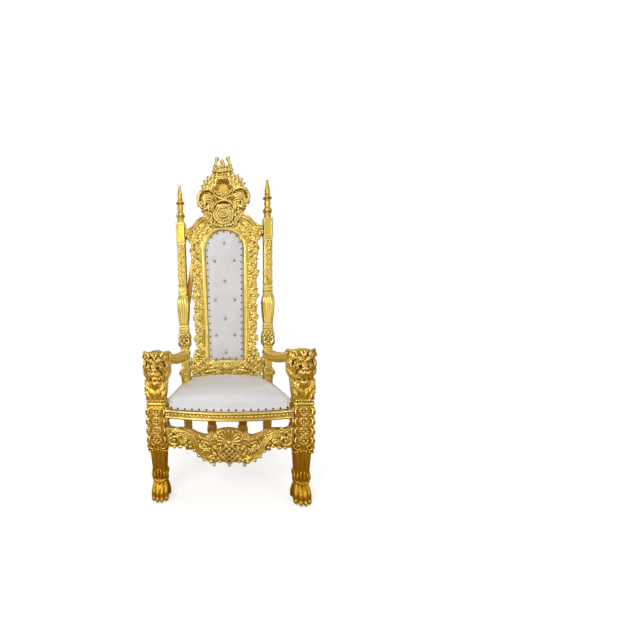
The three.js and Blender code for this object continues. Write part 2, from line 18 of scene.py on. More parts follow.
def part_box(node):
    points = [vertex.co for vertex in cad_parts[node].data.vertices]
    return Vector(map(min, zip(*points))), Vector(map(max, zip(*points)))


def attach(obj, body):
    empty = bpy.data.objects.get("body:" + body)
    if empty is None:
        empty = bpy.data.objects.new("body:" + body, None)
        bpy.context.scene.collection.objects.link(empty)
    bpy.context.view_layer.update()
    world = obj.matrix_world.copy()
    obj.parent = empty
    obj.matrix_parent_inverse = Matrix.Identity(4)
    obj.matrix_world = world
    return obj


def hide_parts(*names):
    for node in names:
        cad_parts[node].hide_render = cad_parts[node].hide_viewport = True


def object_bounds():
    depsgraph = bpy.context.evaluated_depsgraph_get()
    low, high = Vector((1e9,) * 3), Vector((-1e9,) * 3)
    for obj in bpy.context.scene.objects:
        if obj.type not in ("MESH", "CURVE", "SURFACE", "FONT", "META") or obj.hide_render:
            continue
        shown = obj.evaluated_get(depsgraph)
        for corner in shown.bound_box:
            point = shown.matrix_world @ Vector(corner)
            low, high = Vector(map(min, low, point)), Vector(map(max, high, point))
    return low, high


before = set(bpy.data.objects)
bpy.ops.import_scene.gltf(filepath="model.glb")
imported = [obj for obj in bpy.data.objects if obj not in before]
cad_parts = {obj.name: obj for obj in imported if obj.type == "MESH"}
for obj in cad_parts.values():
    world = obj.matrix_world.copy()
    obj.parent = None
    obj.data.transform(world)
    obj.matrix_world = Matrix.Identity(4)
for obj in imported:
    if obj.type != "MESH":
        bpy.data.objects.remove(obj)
cad_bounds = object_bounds()
print("frame:", len(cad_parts), "nodes")

# %% [markdown]
# ## The planes that everything hangs on
#
# A throne is set out from its seat. The front legs stand half a block outside the front
# rail, and the back is one raked plane hinged behind the seat. All are taken from the
# CAD pieces' boxes, so the looks stay on the frame when its sizes change.

# %% Setting out
MM = 0.001
rail_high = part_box("seat_rail_front")[1]
apron_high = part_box("apron_front")[1]
rear_low, rear_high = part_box("seat_rail_rear")
LEG_X = rail_high[0] + 46.8 * MM
LEG_Y = apron_high[1] + 17 * MM
HEAD_X = LEG_X - 4 * MM
HEAD_Y = LEG_Y + 11 * MM
SHIFT_Y = rear_low[1] - 295 * MM
FACE_Y = apron_high[1] - 26 * MM
RAKE = math.atan(0.118)
BACK_FOOT = Vector((0, 285.5 * MM + SHIFT_Y, 500 * MM))
TO_BACK = Matrix.Translation(BACK_FOOT) @ Matrix.Rotation(-RAKE, 4, "X")
TO_APRON = Matrix.Translation((0, FACE_Y, 0))
print("leg axis", round(LEG_X, 4), round(LEG_Y, 4), "back foot", tuple(round(v, 4) for v in BACK_FOOT))


def along(z):
    """A height in mm as a length in mm up the raked back."""
    return (z - 500) / math.cos(RAKE)


def post_x(up):
    """How far aside the post's axis is: the posts lean apart as they rise."""
    return 260 + 0.0133 * up


# %% [markdown]
# ## Camera, floor and light
#
# A low wide view a little to the left of the middle, looking down by eight degrees. Gold
# shows what it reflects, so large soft boxes give the pale highlights and a patchy warm
# room, which only reflections see, gives the amber between them. The camera itself sees a
# white room and a floor that fades into it.

# %% Camera and lamps
EYE = (-0.023, -1.907, 1.001)
LENS, SHIFT = 19.125, (0.2034, 0.0386)
yaw, pitch, roll = math.radians(5.51), math.radians(7.83), math.radians(1.85)
forward = Vector((-math.sin(yaw) * math.cos(pitch), math.cos(yaw) * math.cos(pitch), -math.sin(pitch)))
right = Vector((math.cos(yaw), math.sin(yaw), 0))
down = forward.cross(right)
tilted_right = math.cos(roll) * right + math.sin(roll) * down
tilted_down = -math.sin(roll) * right + math.cos(roll) * down
turn = Matrix((tilted_right, -tilted_down, -forward)).transposed()
camera_data = bpy.data.cameras.new("camera")
camera = bpy.data.objects.new("camera", camera_data)
bpy.context.scene.collection.objects.link(camera)
camera.matrix_world = Matrix.Translation(EYE) @ turn.to_4x4()
camera_data.lens = LENS
camera_data.shift_x, camera_data.shift_y = SHIFT
bpy.context.scene.camera = camera
bpy.context.scene.view_settings.view_transform = "Standard"


def soft_box(name, place, target, size, power, tint=(1, 1, 1)):
    """A rectangular lamp at place that faces target."""
    data = bpy.data.lights.new(name, "AREA")
    data.shape = "RECTANGLE"
    data.size, data.size_y = size
    data.energy = power
    data.color = tint
    light = bpy.data.objects.new(name, data)
    light.location = place
    light.rotation_euler = (Vector(target) - Vector(place)).to_track_quat("-Z", "Y").to_euler()
    bpy.context.scene.collection.objects.link(light)


soft_box("key_light", (-1.4, -2.9, 2.6), (0, 0, 0.9), (0.9, 0.9), 25, (1, 0.99, 0.98))
soft_box("fill_light", (2.1, -2.5, 1.5), (0, 0, 0.7), (0.5, 1.3), 10)
soft_box("low_light", (-0.7, -3.0, 0.45), (0, 0, 0.4), (1.4, 0.5), 13, (0.97, 0.98, 1))
soft_box("top_light", (0.2, -0.6, 3.4), (0, 0, 0.8), (1.4, 1.0), 7)
soft_box("left_strip", (-2.6, 0.2, 1.3), (0, 0, 0.9), (0.3, 1.7), 9)
soft_box("rear_light", (0.8, 2.8, 2.4), (0, 0, 1.0), (1.4, 1.0), 12)
print("camera lens", camera_data.lens, "and", len(bpy.data.lights), "soft boxes")


# %% Room
def node(tree, kind, **settings):
    """A shader node. A setting that the node doesn't have is the value of one of its inputs."""
    made = tree.nodes.new(kind)
    for key, value in settings.items():
        if hasattr(made, key):
            setattr(made, key, value)
        else:
            made.inputs[key.replace("_", " ")].default_value = value
    return made


def wire(tree, source, output, target, into):
    """One link from a node's output to another node's input."""
    tree.links.new(source.outputs[output], target.inputs[into])


def ramp(tree, *stops):
    """A colour ramp through stops of position and colour."""
    made = tree.nodes.new("ShaderNodeValToRGB")
    elements = made.color_ramp.elements
    for end in (0, -1):
        elements[end].position = stops[end][0]
        elements[end].color = (*stops[end][1], 1)
    for position, colour in stops[1:-1]:
        elements.new(position).color = (*colour, 1)
    return made


world = bpy.data.worlds.new("studio")
bpy.context.scene.world = world
world.use_nodes = True
room_tree = world.node_tree
room_tree.nodes.clear()
ray = node(room_tree, "ShaderNodeLightPath")
place = node(room_tree, "ShaderNodeTexCoord")
room, soft, seen = [node(room_tree, "ShaderNodeBackground", Color=(1, 1, 1, 1), Strength=strength)
                    for strength in (0.74, 0.5, 1.0)]
# The room that the gold reflects: pale windows and lamps between warm dim walls
patches = node(room_tree, "ShaderNodeTexNoise", Scale=2.6, Detail=1.5, Roughness=0.45)
tones = ramp(room_tree, (0.39, (0.13, 0.058, 0.005)), (0.52, (0.58, 0.46, 0.19)), (0.68, (1.7, 1.88, 2.5)))
wire(room_tree, place, "Generated", patches, "Vector")
wire(room_tree, patches, "Fac", tones, "Fac")
wire(room_tree, tones, "Color", room, "Color")
# Gold sees the patchy room, the camera sees white, and everything else a soft even light
by_ray = node(room_tree, "ShaderNodeMixShader")
wire(room_tree, ray, "Is Glossy Ray", by_ray, "Fac")
wire(room_tree, soft, 0, by_ray, 1)
wire(room_tree, room, 0, by_ray, 2)
by_eye = node(room_tree, "ShaderNodeMixShader")
wire(room_tree, ray, "Is Camera Ray", by_eye, "Fac")
wire(room_tree, by_ray, 0, by_eye, 1)
wire(room_tree, seen, 0, by_eye, 2)
wire(room_tree, by_eye, 0, node(room_tree, "ShaderNodeOutputWorld"), "Surface")
print("room with", len(room_tree.nodes), "nodes")


# %% Floor
def new_finish(name, **values):
    """A material, its node tree and its main shader, which takes the values."""
    material = bpy.data.materials.new(name)
    material.use_nodes = True
    shader = material.node_tree.nodes["Principled BSDF"]
    for key, value in values.items():
        shader.inputs[key.replace("_", " ")].default_value = value
    return material, material.node_tree, shader


bpy.ops.mesh.primitive_plane_add(size=90)
floor = bpy.context.object
floor.name = "floor"
floor_paint, tree, paint = new_finish(
    "floor_paint", Base_Color=(0.75, 0.75, 0.75, 1), Roughness=0.9, Specular_IOR_Level=0.1,
    Emission_Color=(1, 1, 1, 1))
ray = node(tree, "ShaderNodeLightPath")
glow = node(tree, "ShaderNodeMath", operation="MULTIPLY")
glow.inputs[1].default_value = 0.55
wire(tree, ray, "Is Camera Ray", glow, 0)
wire(tree, glow, 0, paint, "Emission Strength")
# Gold sees a warm floor
warm_card = node(tree, "ShaderNodeBsdfDiffuse", Color=(0.42, 0.28, 0.09, 1))
by_ray = node(tree, "ShaderNodeMixShader")
wire(tree, ray, "Is Glossy Ray", by_ray, "Fac")
wire(tree, paint, 0, by_ray, 1)
wire(tree, warm_card, 0, by_ray, 2)
# Away from the feet the floor is the same white as the room behind, so no horizon shows
place = node(tree, "ShaderNodeTexCoord")
reach = node(tree, "ShaderNodeVectorMath", operation="LENGTH")
fade = node(tree, "ShaderNodeMapRange", From_Min=0.5, From_Max=1.5)
seen = node(tree, "ShaderNodeMath", operation="MULTIPLY")
blank = node(tree, "ShaderNodeEmission", Strength=1.0)
by_eye = node(tree, "ShaderNodeMixShader")
wire(tree, place, "Object", reach, 0)
wire(tree, reach, "Value", fade, "Value")
wire(tree, fade, "Result", seen, 0)
wire(tree, ray, "Is Camera Ray", seen, 1)
wire(tree, seen, 0, by_eye, "Fac")
wire(tree, by_ray, 0, by_eye, 1)
wire(tree, blank, 0, by_eye, 2)
wire(tree, by_eye, 0, tree.nodes["Material Output"], "Surface")
floor.data.materials.append(floor_paint)
print("floor", tuple(round(v, 1) for v in floor.dimensions))

# %% [markdown]
# ## Gilding, leather, crystal and nails
#
# Gold leaf over red clay, smoother on the high edges, which are painted a paler gold as a
# painted highlight, and dull in the hollows, which are painted brown both for the glaze that
# gathers there and as painted shade. Pointiness finds the edges and ambient occlusion the
# hollows. The covers are an off-white leather with a fine pebbled grain.

# %% Gold and leather
def gilding(name, gold, deep, pale, rough, foot_shade_heights=None):
    """Burnished leaf under thin clear lacquer: pale painted highlight on edges, glaze and painted shade in
    hollows.

    The pair of heights in metres, if given, is where painted shade fades in, darker towards the foot.
    """
    material, t, shader = new_finish(name, Metallic=1.0, Coat_Weight=0.06, Coat_Roughness=0.22)
    place = node(t, "ShaderNodeTexCoord")
    # 1 on an open edge, where the pale painted highlight goes, and 0 in a hollow, where glaze and painted
    # shade go
    edges = node(t, "ShaderNodeNewGeometry")
    painted_highlight_range = node(t, "ShaderNodeMapRange", From_Min=0.42, From_Max=0.57)
    wire(t, edges, "Pointiness", painted_highlight_range, "Value")
    hollow = node(t, "ShaderNodeAmbientOcclusion", samples=6, Distance=0.016)
    painted_shade_range = node(t, "ShaderNodeMapRange", From_Min=0.12, From_Max=0.70)
    wire(t, hollow, "AO", painted_shade_range, "Value")
    painted_light = node(t, "ShaderNodeMath", operation="MULTIPLY")
    wire(t, painted_highlight_range, "Result", painted_light, 0)
    wire(t, painted_shade_range, "Result", painted_light, 1)
    # Painted shade: darker towards the foot of the leg
    if foot_shade_heights:
        split = node(t, "ShaderNodeSeparateXYZ")
        wire(t, place, "Object", split, 0)
        foot = node(t, "ShaderNodeMapRange", From_Min=foot_shade_heights[0], From_Max=foot_shade_heights[1], To_Min=0.45)
        wire(t, split, "Z", foot, "Value")
        foot_shaded_light = node(t, "ShaderNodeMath", operation="MULTIPLY")
        wire(t, painted_light, 0, foot_shaded_light, 0)
        wire(t, foot, "Result", foot_shaded_light, 1)
        painted_light = foot_shaded_light
    # Brown in the hollows is glaze and painted shade, and pale on the edges is a painted highlight
    tone = ramp(t, (0, deep), (0.45, gold), (1, pale))
    wire(t, painted_light, 0, tone, "Fac")
    # Faint patches where the leaf lies thicker
    mottle = node(t, "ShaderNodeTexNoise", Scale=38, Detail=4, Roughness=0.6)
    wire(t, place, "Object", mottle, "Vector")
    mottle_tone = ramp(t, (0.35, (0.80, 0.70, 0.55)), (0.6, (1, 1, 1)))
    wire(t, mottle, "Fac", mottle_tone, "Fac")
    patch = node(t, "ShaderNodeMix", data_type="RGBA", blend_type="MULTIPLY", Factor=0.35)
    wire(t, tone, "Color", patch, 6)
    wire(t, mottle_tone, "Color", patch, 7)
    wire(t, patch, 2, shader, "Base Color")
    dull = node(t, "ShaderNodeMapRange", To_Min=rough + 0.2, To_Max=rough)
    wire(t, painted_light, 0, dull, "Value")
    wire(t, dull, "Result", shader, "Roughness")
    # Marks of the burnisher, broad and fine
    tooled = node(t, "ShaderNodeTexNoise", Scale=60, Detail=1, Roughness=0.35)
    wire(t, place, "Object", tooled, "Vector")
    dents = node(t, "ShaderNodeBump", Strength=0.16, Distance=0.0025)
    wire(t, tooled, "Fac", dents, "Height")
    brush = node(t, "ShaderNodeTexNoise", Scale=420, Detail=3, Roughness=0.55)
    wire(t, place, "Object", brush, "Vector")
    relief = node(t, "ShaderNodeBump", Strength=0.07, Distance=0.0005)
    wire(t, brush, "Fac", relief, "Height")
    wire(t, dents, "Normal", relief, "Normal")
    wire(t, relief, "Normal", shader, "Normal")
    return material


def leather(name, colour, shade):
    """Pebbled leather that drifts slowly between two near whites."""
    material, t, shader = new_finish(name, Roughness=0.42, Specular_IOR_Level=0.45, Sheen_Weight=0.08)
    place = node(t, "ShaderNodeTexCoord")
    grain = node(t, "ShaderNodeTexVoronoi", Scale=520)
    pebble = node(t, "ShaderNodeTexNoise", Scale=260, Detail=3)
    wash = node(t, "ShaderNodeTexNoise", Scale=9, Detail=3)
    for texture in (grain, pebble, wash):
        wire(t, place, "Object", texture, "Vector")
    tone = ramp(t, (0.3, shade), (0.65, colour))
    wire(t, wash, "Fac", tone, "Fac")
    wire(t, tone, "Color", shader, "Base Color")
    height = node(t, "ShaderNodeMath", operation="ADD")
    wire(t, grain, "Distance", height, 0)
    wire(t, pebble, "Fac", height, 1)
    relief = node(t, "ShaderNodeBump", Strength=0.18, Distance=0.0006)
    wire(t, height, 0, relief, "Height")
    wire(t, relief, "Normal", shader, "Normal")
    return material


gold = gilding("bright_gilding", (0.87, 0.65, 0.10), (0.36, 0.125, 0.002), (0.97, 0.91, 0.55), 0.24)
# The legs take painted shade towards their feet
leg_gold = gilding("leg_gilding", (0.86, 0.58, 0.05), (0.32, 0.10, 0.002), (0.97, 0.85, 0.45), 0.23,
                   foot_shade_heights=(0.20, 0.34))
# A darker copy of the gilding, painted shade for the apron's board and for parts that stand in shade under
# and behind the seat
painted_shade_gold = gilding("painted_shade_gilding", (0.60, 0.34, 0.05), (0.16, 0.06, 0.01), (0.7, 0.45, 0.1), 0.34)
white_leather = leather("white_leather", (0.79, 0.775, 0.775), (0.74, 0.72, 0.72))
print("finishes:", [m.name for m in (gold, leg_gold, painted_shade_gold, white_leather)])

# %% Crystal, steel and iron
crystal, _, _ = new_finish("crystal", Base_Color=(0.97, 0.98, 1, 1), Transmission_Weight=1.0,
                           Roughness=0.02, IOR=1.6)
setting_steel, _, _ = new_finish("setting_steel", Base_Color=(0.36, 0.38, 0.43, 1), Metallic=0.85,
                                 Roughness=0.3)
nail_iron, tree, iron = new_finish("nail_iron", Metallic=0.9, Roughness=0.32)
rust = node(tree, "ShaderNodeTexNoise", Scale=300)
rust_tone = ramp(tree, (0, (0.012, 0.011, 0.01)), (1, (0.05, 0.045, 0.04)))
wire(tree, rust, "Fac", rust_tone, "Fac")
wire(tree, rust_tone, "Color", iron, "Base Color")
print("finishes:", [m.name for m in (crystal, setting_steel, nail_iron)])

# %% [markdown]
# ## The carver's strokes
#
# A gouge leaves long tapered ridges, so the main form is a tube along a smooth path whose
# radius swells and fades. Balls give eyes, pearls and toes, blanks give the wood behind.
# Everything in one carving overlaps, and a voxel remesh fuses it into a single closed skin
# with soft hollows, as if cut from one board. Sizes here are in mm.

# %% A smooth line
def smooth_path(points, step=4.0):
    """A smooth line through rows of position and radius, cut into short steps."""
    p = np.array(points, dtype=float)
    ends = np.vstack([2 * p[0] - p[1], p, 2 * p[-1] - p[-2]])
    rows = []
    for a, b, c, d in zip(ends, ends[1:], ends[2:], ends[3:]):
        count = max(2, int(np.linalg.norm((c - b)[:3]) / step))
        for t in np.arange(count) / count:
            bend = (2 * a - 5 * b + 4 * c - d) * t * t + (-a + 3 * b - 3 * c + d) * t ** 3
            rows.append(0.5 * (2 * b + (c - a) * t + bend))
    rows.append(p[-1])
    return np.array(rows)


def unit(v):
    """Each row scaled to a length of one."""
    length = np.linalg.norm(v, axis=-1, keepdims=True)
    return v / np.maximum(length, 1e-9)


sample = [(0, 0, 0, 6), (8, 0, 30, 8), (0, 0, 60, 4)]
print("a curve through", len(sample), "rows is cut into", len(smooth_path(sample)), "steps")


# %% The blank and the strokes on it
class Carving:
    """Closed forms in mm, local axes: x across, y back into the wood, z up."""

    def __init__(self):
        self.points = []
        self.faces = []
        self.count = 0

    def add(self, points, faces, both=False):
        """One closed form, and with both its mirror image."""
        points = np.array(points, dtype=float)
        for side in (1, -1) if both else (1,):
            self.points.append(points * (side, 1, 1))
            self.faces += [[self.count + i for i in f[::side]] for f in faces]
            self.count += len(points)

    def loft(self, rings, both=False):
        """A closed skin over rings of equal count, counter-clockwise seen from the end they run to."""
        rings = np.array(rings, dtype=float)
        levels, count = rings.shape[:2]
        points = np.vstack([rings.reshape(-1, 3), rings[0].mean(0), rings[-1].mean(0)])
        faces = []
        for k in range(levels - 1):
            for i in range(count):
                j = (i + 1) % count
                faces.append([k * count + i, k * count + j, (k + 1) * count + j, (k + 1) * count + i])
        last = (levels - 1) * count
        for i in range(count):
            j = (i + 1) % count
            faces.append([levels * count, j, i])
            faces.append([levels * count + 1, last + i, last + j])
        self.add(points, faces, both)

    def stroke(self, points, flat=1.0, sides=8, out=(0, -1, 0), both=False, step=4.0):
        """A tube through rows of x, y, z, radius. flat thins it towards out."""
        rows = smooth_path(points, step)
        centre, radius = rows[:, :3], np.maximum(rows[:, 3], 0.4)
        tangent = unit(np.gradient(centre, axis=0))
        across = unit(np.cross(tangent, np.array(out, dtype=float)))
        lift = np.cross(across, tangent)
        rings = []
        for c, r, s, u in zip(centre, radius, across, lift):
            ring = []
            for k in range(sides):
                a = 2 * math.pi * k / sides
                ring.append(c + s * r * math.cos(a) + u * r * flat * math.sin(a))
            rings.append(ring)
        first = [centre[0] - tangent[0] * radius[0] * 0.7 + (p - centre[0]) * 0.5 for p in rings[0]]
        final = [centre[-1] + tangent[-1] * radius[-1] * 0.7 + (p - centre[-1]) * 0.5 for p in rings[-1]]
        rings = np.array([first, *rings, final])[:, ::-1]
        self.loft(rings, both)

    def ball(self, centre, size, turn=0.0, both=False, sides=12):
        """An egg of half-sizes size, turned about y by turn."""
        size = np.array(size if np.ndim(size) else (size, size, size), dtype=float)
        rings = []
        levels = 7
        for k in range(1, levels):
            a = math.pi * k / levels - math.pi / 2
            rings.append([(math.cos(a) * math.cos(b), math.cos(a) * math.sin(b), math.sin(a))
                          for b in 2 * math.pi * np.arange(sides) / sides])
        rings = np.array(rings) * size
        spin = np.array(Matrix.Rotation(turn, 3, "Y"))
        rings = rings @ spin.T + np.array(centre, dtype=float)
        self.loft(rings, both)

    def slab(self, loops, back, front):
        """A board cut to loops of (x, z), outline first and then its holes, from front to back."""
        flat = [[Vector((x, z, 0)) for x, z in loop] for loop in loops]
        corners = [p for loop in loops for p in loop]
        triangles = tessellate_polygon(flat)
        n = len(corners)
        points = [(x, front, z) for x, z in corners] + [(x, back, z) for x, z in corners]
        faces = []
        for a, b, c in triangles:
            pa, pb, pc = corners[a], corners[b], corners[c]
            area = (pb[0] - pa[0]) * (pc[1] - pa[1]) - (pb[1] - pa[1]) * (pc[0] - pa[0])
            a, b, c = (a, b, c) if area > 0 else (a, c, b)
            faces += [[a, b, c], [n + a, n + c, n + b]]
        start = 0
        for index, loop in enumerate(loops):
            size = len(loop)
            area = sum(p[0] * q[1] - q[0] * p[1] for p, q in zip(loop, loop[1:] + loop[:1]))
            outward = (area > 0) == (index == 0)
            for i in range(size):
                p, q = start + i, start + (i + 1) % size
                faces.append([q, p, n + p, n + q] if outward else [p, q, n + q, n + p])
            start += size
        self.add(points, faces)

    def leaf(self, spine, width, lobes=4, side=0, both=False, lean=0.6):
        """An acanthus leaf: a full body under a rib, with plump lobes that sweep forward."""
        rows = smooth_path(spine)
        self.stroke(spine, flat=0.7, both=both)
        taper = np.linspace(1, 0.35, len(rows))
        body = rows.copy()
        body[:, 1] += 2
        body[:, 3] += 0.34 * width * taper
        self.stroke(body[::2], flat=0.4, both=both)
        tangent = unit(np.gradient(rows[:, :3], axis=0))
        length = np.linalg.norm(np.diff(rows[:, :3], axis=0), axis=1).sum()
        lobes = max(lobes, int(length / (0.62 * width)))
        for k in range(lobes):
            t = (k + 0.5) / lobes
            i = int(t * (len(rows) - 1))
            here, ahead = rows[i, :3], tangent[i]
            reach = width * (1 - 0.6 * t) * (0.8 + 0.2 * math.sin(math.pi * min(1, t * 2)))
            for s in ((1, -1) if side == 0 else (side,)):
                aside = s * np.array((ahead[2], 0, -ahead[0]))
                raised = np.array((0, -1, 0))
                mid = here + reach * (0.52 * aside + 0.30 * lean * ahead) + raised * reach * 0.14
                end = here + reach * (0.86 * aside + 0.85 * lean * ahead) - raised * reach * 0.04
                rays = [(*here, 0.24 * reach), (*mid, 0.33 * reach), (*end, 0.19 * reach)]
                self.stroke(rays, flat=0.85, both=both)

    def foliage(self, outline, front, size, gap, seed, both=False, clear=()):
        """Small curled lobes on the ground between the main forms.

        clear lists the round places to leave bare, each as x, z and radius.
        """
        rng = np.random.default_rng(seed)
        loop = np.array(outline, dtype=float)
        low, high = loop.min(0), loop.max(0)
        across, up = np.meshgrid(np.arange(low[0], high[0], gap), np.arange(low[1], high[1], gap * 0.87))
        across[1::2] += gap / 2
        spots = np.stack([across.ravel(), up.ravel()], 1)
        spots += rng.uniform(-0.25, 0.25, spots.shape) * gap
        hit = np.zeros(len(spots), bool)
        for (x0, z0), (x1, z1) in zip(loop, np.roll(loop, -1, axis=0)):
            crossed = (z0 > spots[:, 1]) != (z1 > spots[:, 1])
            hit ^= crossed & (spots[:, 0] < x0 + (spots[:, 1] - z0) / (z1 - z0 + 1e-9) * (x1 - x0))
        for x, z, radius in clear:
            hit &= np.hypot(spots[:, 0] - x, spots[:, 1] - z) > radius
        for x, z in spots[hit]:
            ground = front(x, z) if callable(front) else front
            a = 2.2 * math.sin(x / 31 + seed) + 2.6 * math.sin(z / 27 + 1.7 * seed) + rng.uniform(-0.7, 0.7)
            ahead = np.array((math.sin(a), math.cos(a)))
            bend = np.array((math.cos(a), -math.sin(a))) * rng.choice((-1, 1))
            r = size * rng.uniform(0.8, 1.25)
            rows = []
            for t, aside, rise, thick in ((-1.5, 0, -0.25, 0.45), (0, 0.5, 0.3, 0.8), (1.4, -0.25, 0, 0.4)):
                dx, dz = r * (t * ahead + aside * bend)
                rows.append((x + dx, ground - rise * r, z + dz, thick * r))
            self.stroke(rows, flat=0.6, sides=8, both=both, step=5)

    def volute(self, centre, radius, turns, start, spin, thick, rise=3.0, both=False):
        """A spiral that winds inward to a raised eye. start is the outer end's angle from up, clockwise."""
        rows = []
        steps = max(6, int(turns * 9))
        for k in range(steps + 1):
            t = k / steps
            a = start + spin * t * turns * 2 * math.pi
            reach = radius * (1 - 0.78 * t)
            rows.append((centre[0] + reach * math.sin(a), centre[1] - rise * t,
                         centre[2] + reach * math.cos(a), thick * (1 - 0.45 * t)))
        self.stroke(rows, flat=0.85, both=both, step=3.0)
        self.ball((centre[0], centre[1] - rise * 1.2, centre[2]), thick * 0.95, both=both)

    def flower(self, centre, radius, petals=6, both=False):
        """An open flower: rings of cupped petals round a button."""
        x, y, z = centre
        for level in range(2):
            reach = radius * (0.66 - 0.30 * level)
            long = radius * (0.36 - 0.06 * level)
            for k in range(petals):
                a = 2 * math.pi * (k + 0.5 * level) / petals
                spot = (x + reach * math.sin(a), y - level * radius * 0.13, z + reach * math.cos(a))
                self.ball(spot, (long * 0.72, long * 0.42, long), turn=a, both=both, sides=8)
        self.ball((x, y - radius * 0.22, z), radius * 0.2, both=both, sides=8)

    def reeds(self, spine, gaps, thick, both=False):
        """Parallel ridges that follow one line, each moved aside by a gap."""
        rows = smooth_path(spine, 8.0)
        tangent = unit(np.gradient(rows[:, :3], axis=0))
        aside = np.stack([tangent[:, 2], 0 * tangent[:, 0], -tangent[:, 0]], axis=1)
        for gap in gaps:
            moved = rows.copy()
            moved[:, :3] += aside * gap * rows[:, 3:4]
            moved[:, 3] *= thick
            self.stroke(moved, flat=0.9, both=both, step=6.0)

    def object(self, name, place=None):
        """The forms as one mesh, moved by the matrix place."""
        mesh = bpy.data.meshes.new(name)
        points = np.vstack(self.points) * MM
        mesh.from_pydata(points.tolist(), [], self.faces)
        mesh.validate()
        if place is not None:
            mesh.transform(place)
        made = bpy.data.objects.new(name, mesh)
        bpy.context.scene.collection.objects.link(made)
        return made

    def fused(self, name, place, voxel, keep):
        """Every form as one closed skin, thinned to keep of its faces where it is flat."""
        made = self.object(name, place)
        made.data.remesh_voxel_size = voxel * MM
        made.data.remesh_voxel_adaptivity = 0
        made.data.use_remesh_fix_poles = False
        active(made)
        bpy.ops.object.voxel_remesh()
        worked(made, "SMOOTH", factor=0.5, iterations=1)
        worked(made, "DECIMATE", ratio=keep)
        shade(made)
        return made

    def tell(self, part):
        print(part + ":", self.count, "points laid out so far")


print("strokes:", [name for name in vars(Carving) if not name.startswith("_")])


# %% Tools for a finished piece
def active(obj):
    """Makes the piece the only one that the next operator works on."""
    bpy.ops.object.select_all(action="DESELECT")
    obj.select_set(True)
    bpy.context.view_layer.objects.active = obj


def worked(obj, kind, **settings):
    """Gives the piece one modifier and makes it permanent."""
    active(obj)
    modifier = obj.modifiers.new(kind, kind)
    for key, value in settings.items():
        setattr(modifier, key, value)
    bpy.ops.object.modifier_apply(modifier=modifier.name)


def shade(obj, angle=None):
    """Smooth shading, with the edges above angle, in degrees, left crisp."""
    active(obj)
    if angle:
        bpy.ops.object.shade_smooth_by_angle(angle=math.radians(angle))
    else:
        bpy.ops.object.shade_smooth()


def stand_on_floor(obj):
    """Cuts off flat what the carving left below the floor."""
    for vertex in obj.data.vertices:
        vertex.co.z = max(vertex.co.z, 0)


def dress(obj, material, slot, *nodes):
    """Gives a finished piece its finish and body, and hides the CAD parts that it stands for. slot is not
    used.
    """
    obj.data.materials.clear()
    obj.data.materials.append(material)
    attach(obj, "root")
    if nodes:
        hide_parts(*nodes)
    obj.data.calc_loop_triangles()
    print(obj.name, len(obj.data.loop_triangles), "triangles")


def mirror_copy(obj, name):
    """The same piece for the other side of the throne."""
    twin = obj.copy()
    twin.data = obj.data.copy()
    twin.name = name
    twin.data.name = name
    bpy.context.scene.collection.objects.link(twin)
    twin.data.transform(Matrix.Scale(-1, 4, (1, 0, 0)))
    twin.data.flip_normals()
    return twin


def dress_both(right, material, place):
    """Dresses a right-hand piece and its mirrored copy, for the two CAD pieces called place."""
    left = mirror_copy(right, right.name.replace("right", "left"))
    dress(right, material, "gilded_wood", place + "_right")
    dress(left, material, "gilded_wood", place + "_left")


def superellipse(centre, side, front, back, power, count):
    """A rounded-square ring. Angle 0 faces the front."""
    ring = []
    for k in range(count):
        a = 2 * math.pi * k / count
        forward_part, aside = math.cos(a), math.sin(a)
        depth = front if forward_part > 0 else back
        reach = ((abs(forward_part) / depth) ** power + (abs(aside) / side) ** power) ** (-1 / power)
        ring.append((centre[0] + aside * reach, centre[1] - forward_part * reach, centre[2]))
    return ring


corner = superellipse((0, 0, 0), 10, 10, 10, 9, 8)[1]
print("a ring of half-size 10 with sharp corners reaches", round(math.hypot(*corner[:2]), 2))

# %% [markdown]
# ## The back frame
#
# A board with an arched opening, planted with carving. A smooth bead runs round the
# opening where the cover is nailed in. The stiles carry a running scroll of leaves and
# flowers whose tips break the outer edge, and the shoulders are plain moulded bands that
# sweep from the posts up to the crest. One side is laid out and mirrored.

# %% Back frame
PANEL_FOOT_HALF, PANEL_HALF = 105.5, 117
PANEL_FOOT_Z, PANEL_SPRING_Z = 602, 1296


def panel_outline(spread, steps=16):
    """The opening's outline grown outward by spread: tapered sides under a round arch."""
    half, foot, bottom = PANEL_HALF + spread, PANEL_FOOT_HALF + spread, PANEL_FOOT_Z - spread
    right_side = [(0, along(bottom + 8)), (foot - 40, along(bottom + 1)), (foot - 14, along(bottom)),
                  (foot - 4, along(bottom + 5)), (foot, along(bottom + 14))]
    for k in range(steps + 1):
        a = math.pi / 2 * k / steps
        right_side.append((half * math.cos(a), along(PANEL_SPRING_Z) + half * math.sin(a)))
    left_side = [(-x, z) for x, z in reversed(right_side) if x > 1e-6]
    return right_side + left_side


def symmetric(half):
    """A closed outline from its right half, listed upward from the middle line."""
    return half + [(-x, z) for x, z in reversed(half) if x > 1e-6]


def up_rows(rows):
    """Rows of x, forward, height and radius, set up the rake."""
    return [(x, -front, along(z), r) for x, front, z, r in rows]


def up_ground(corners):
    """An outline of x and height, set up the rake."""
    return [(x, along(z)) for x, z in corners]


def leaf_pair(rows, width, lobes, **how):
    """A leaf up the back, and its mirror image."""
    work.leaf(up_rows(rows), width, lobes, both=True, **how)


def stroke_pair(rows, **how):
    """A stroke up the back, and its mirror image."""
    work.stroke(up_rows(rows), both=True, **how)


CREST_ARC = [(108, 1500), (90, 1473), (60, 1451), (30, 1442), (0, 1439)]


def waist(z):
    """Half the width of the frame between its feet and its shoulders."""
    return 181 + (z - 690) / 630 * 22


def post_side(z):
    """Where the frame meets the post's axis."""
    return post_x(along(z)) - 1.5


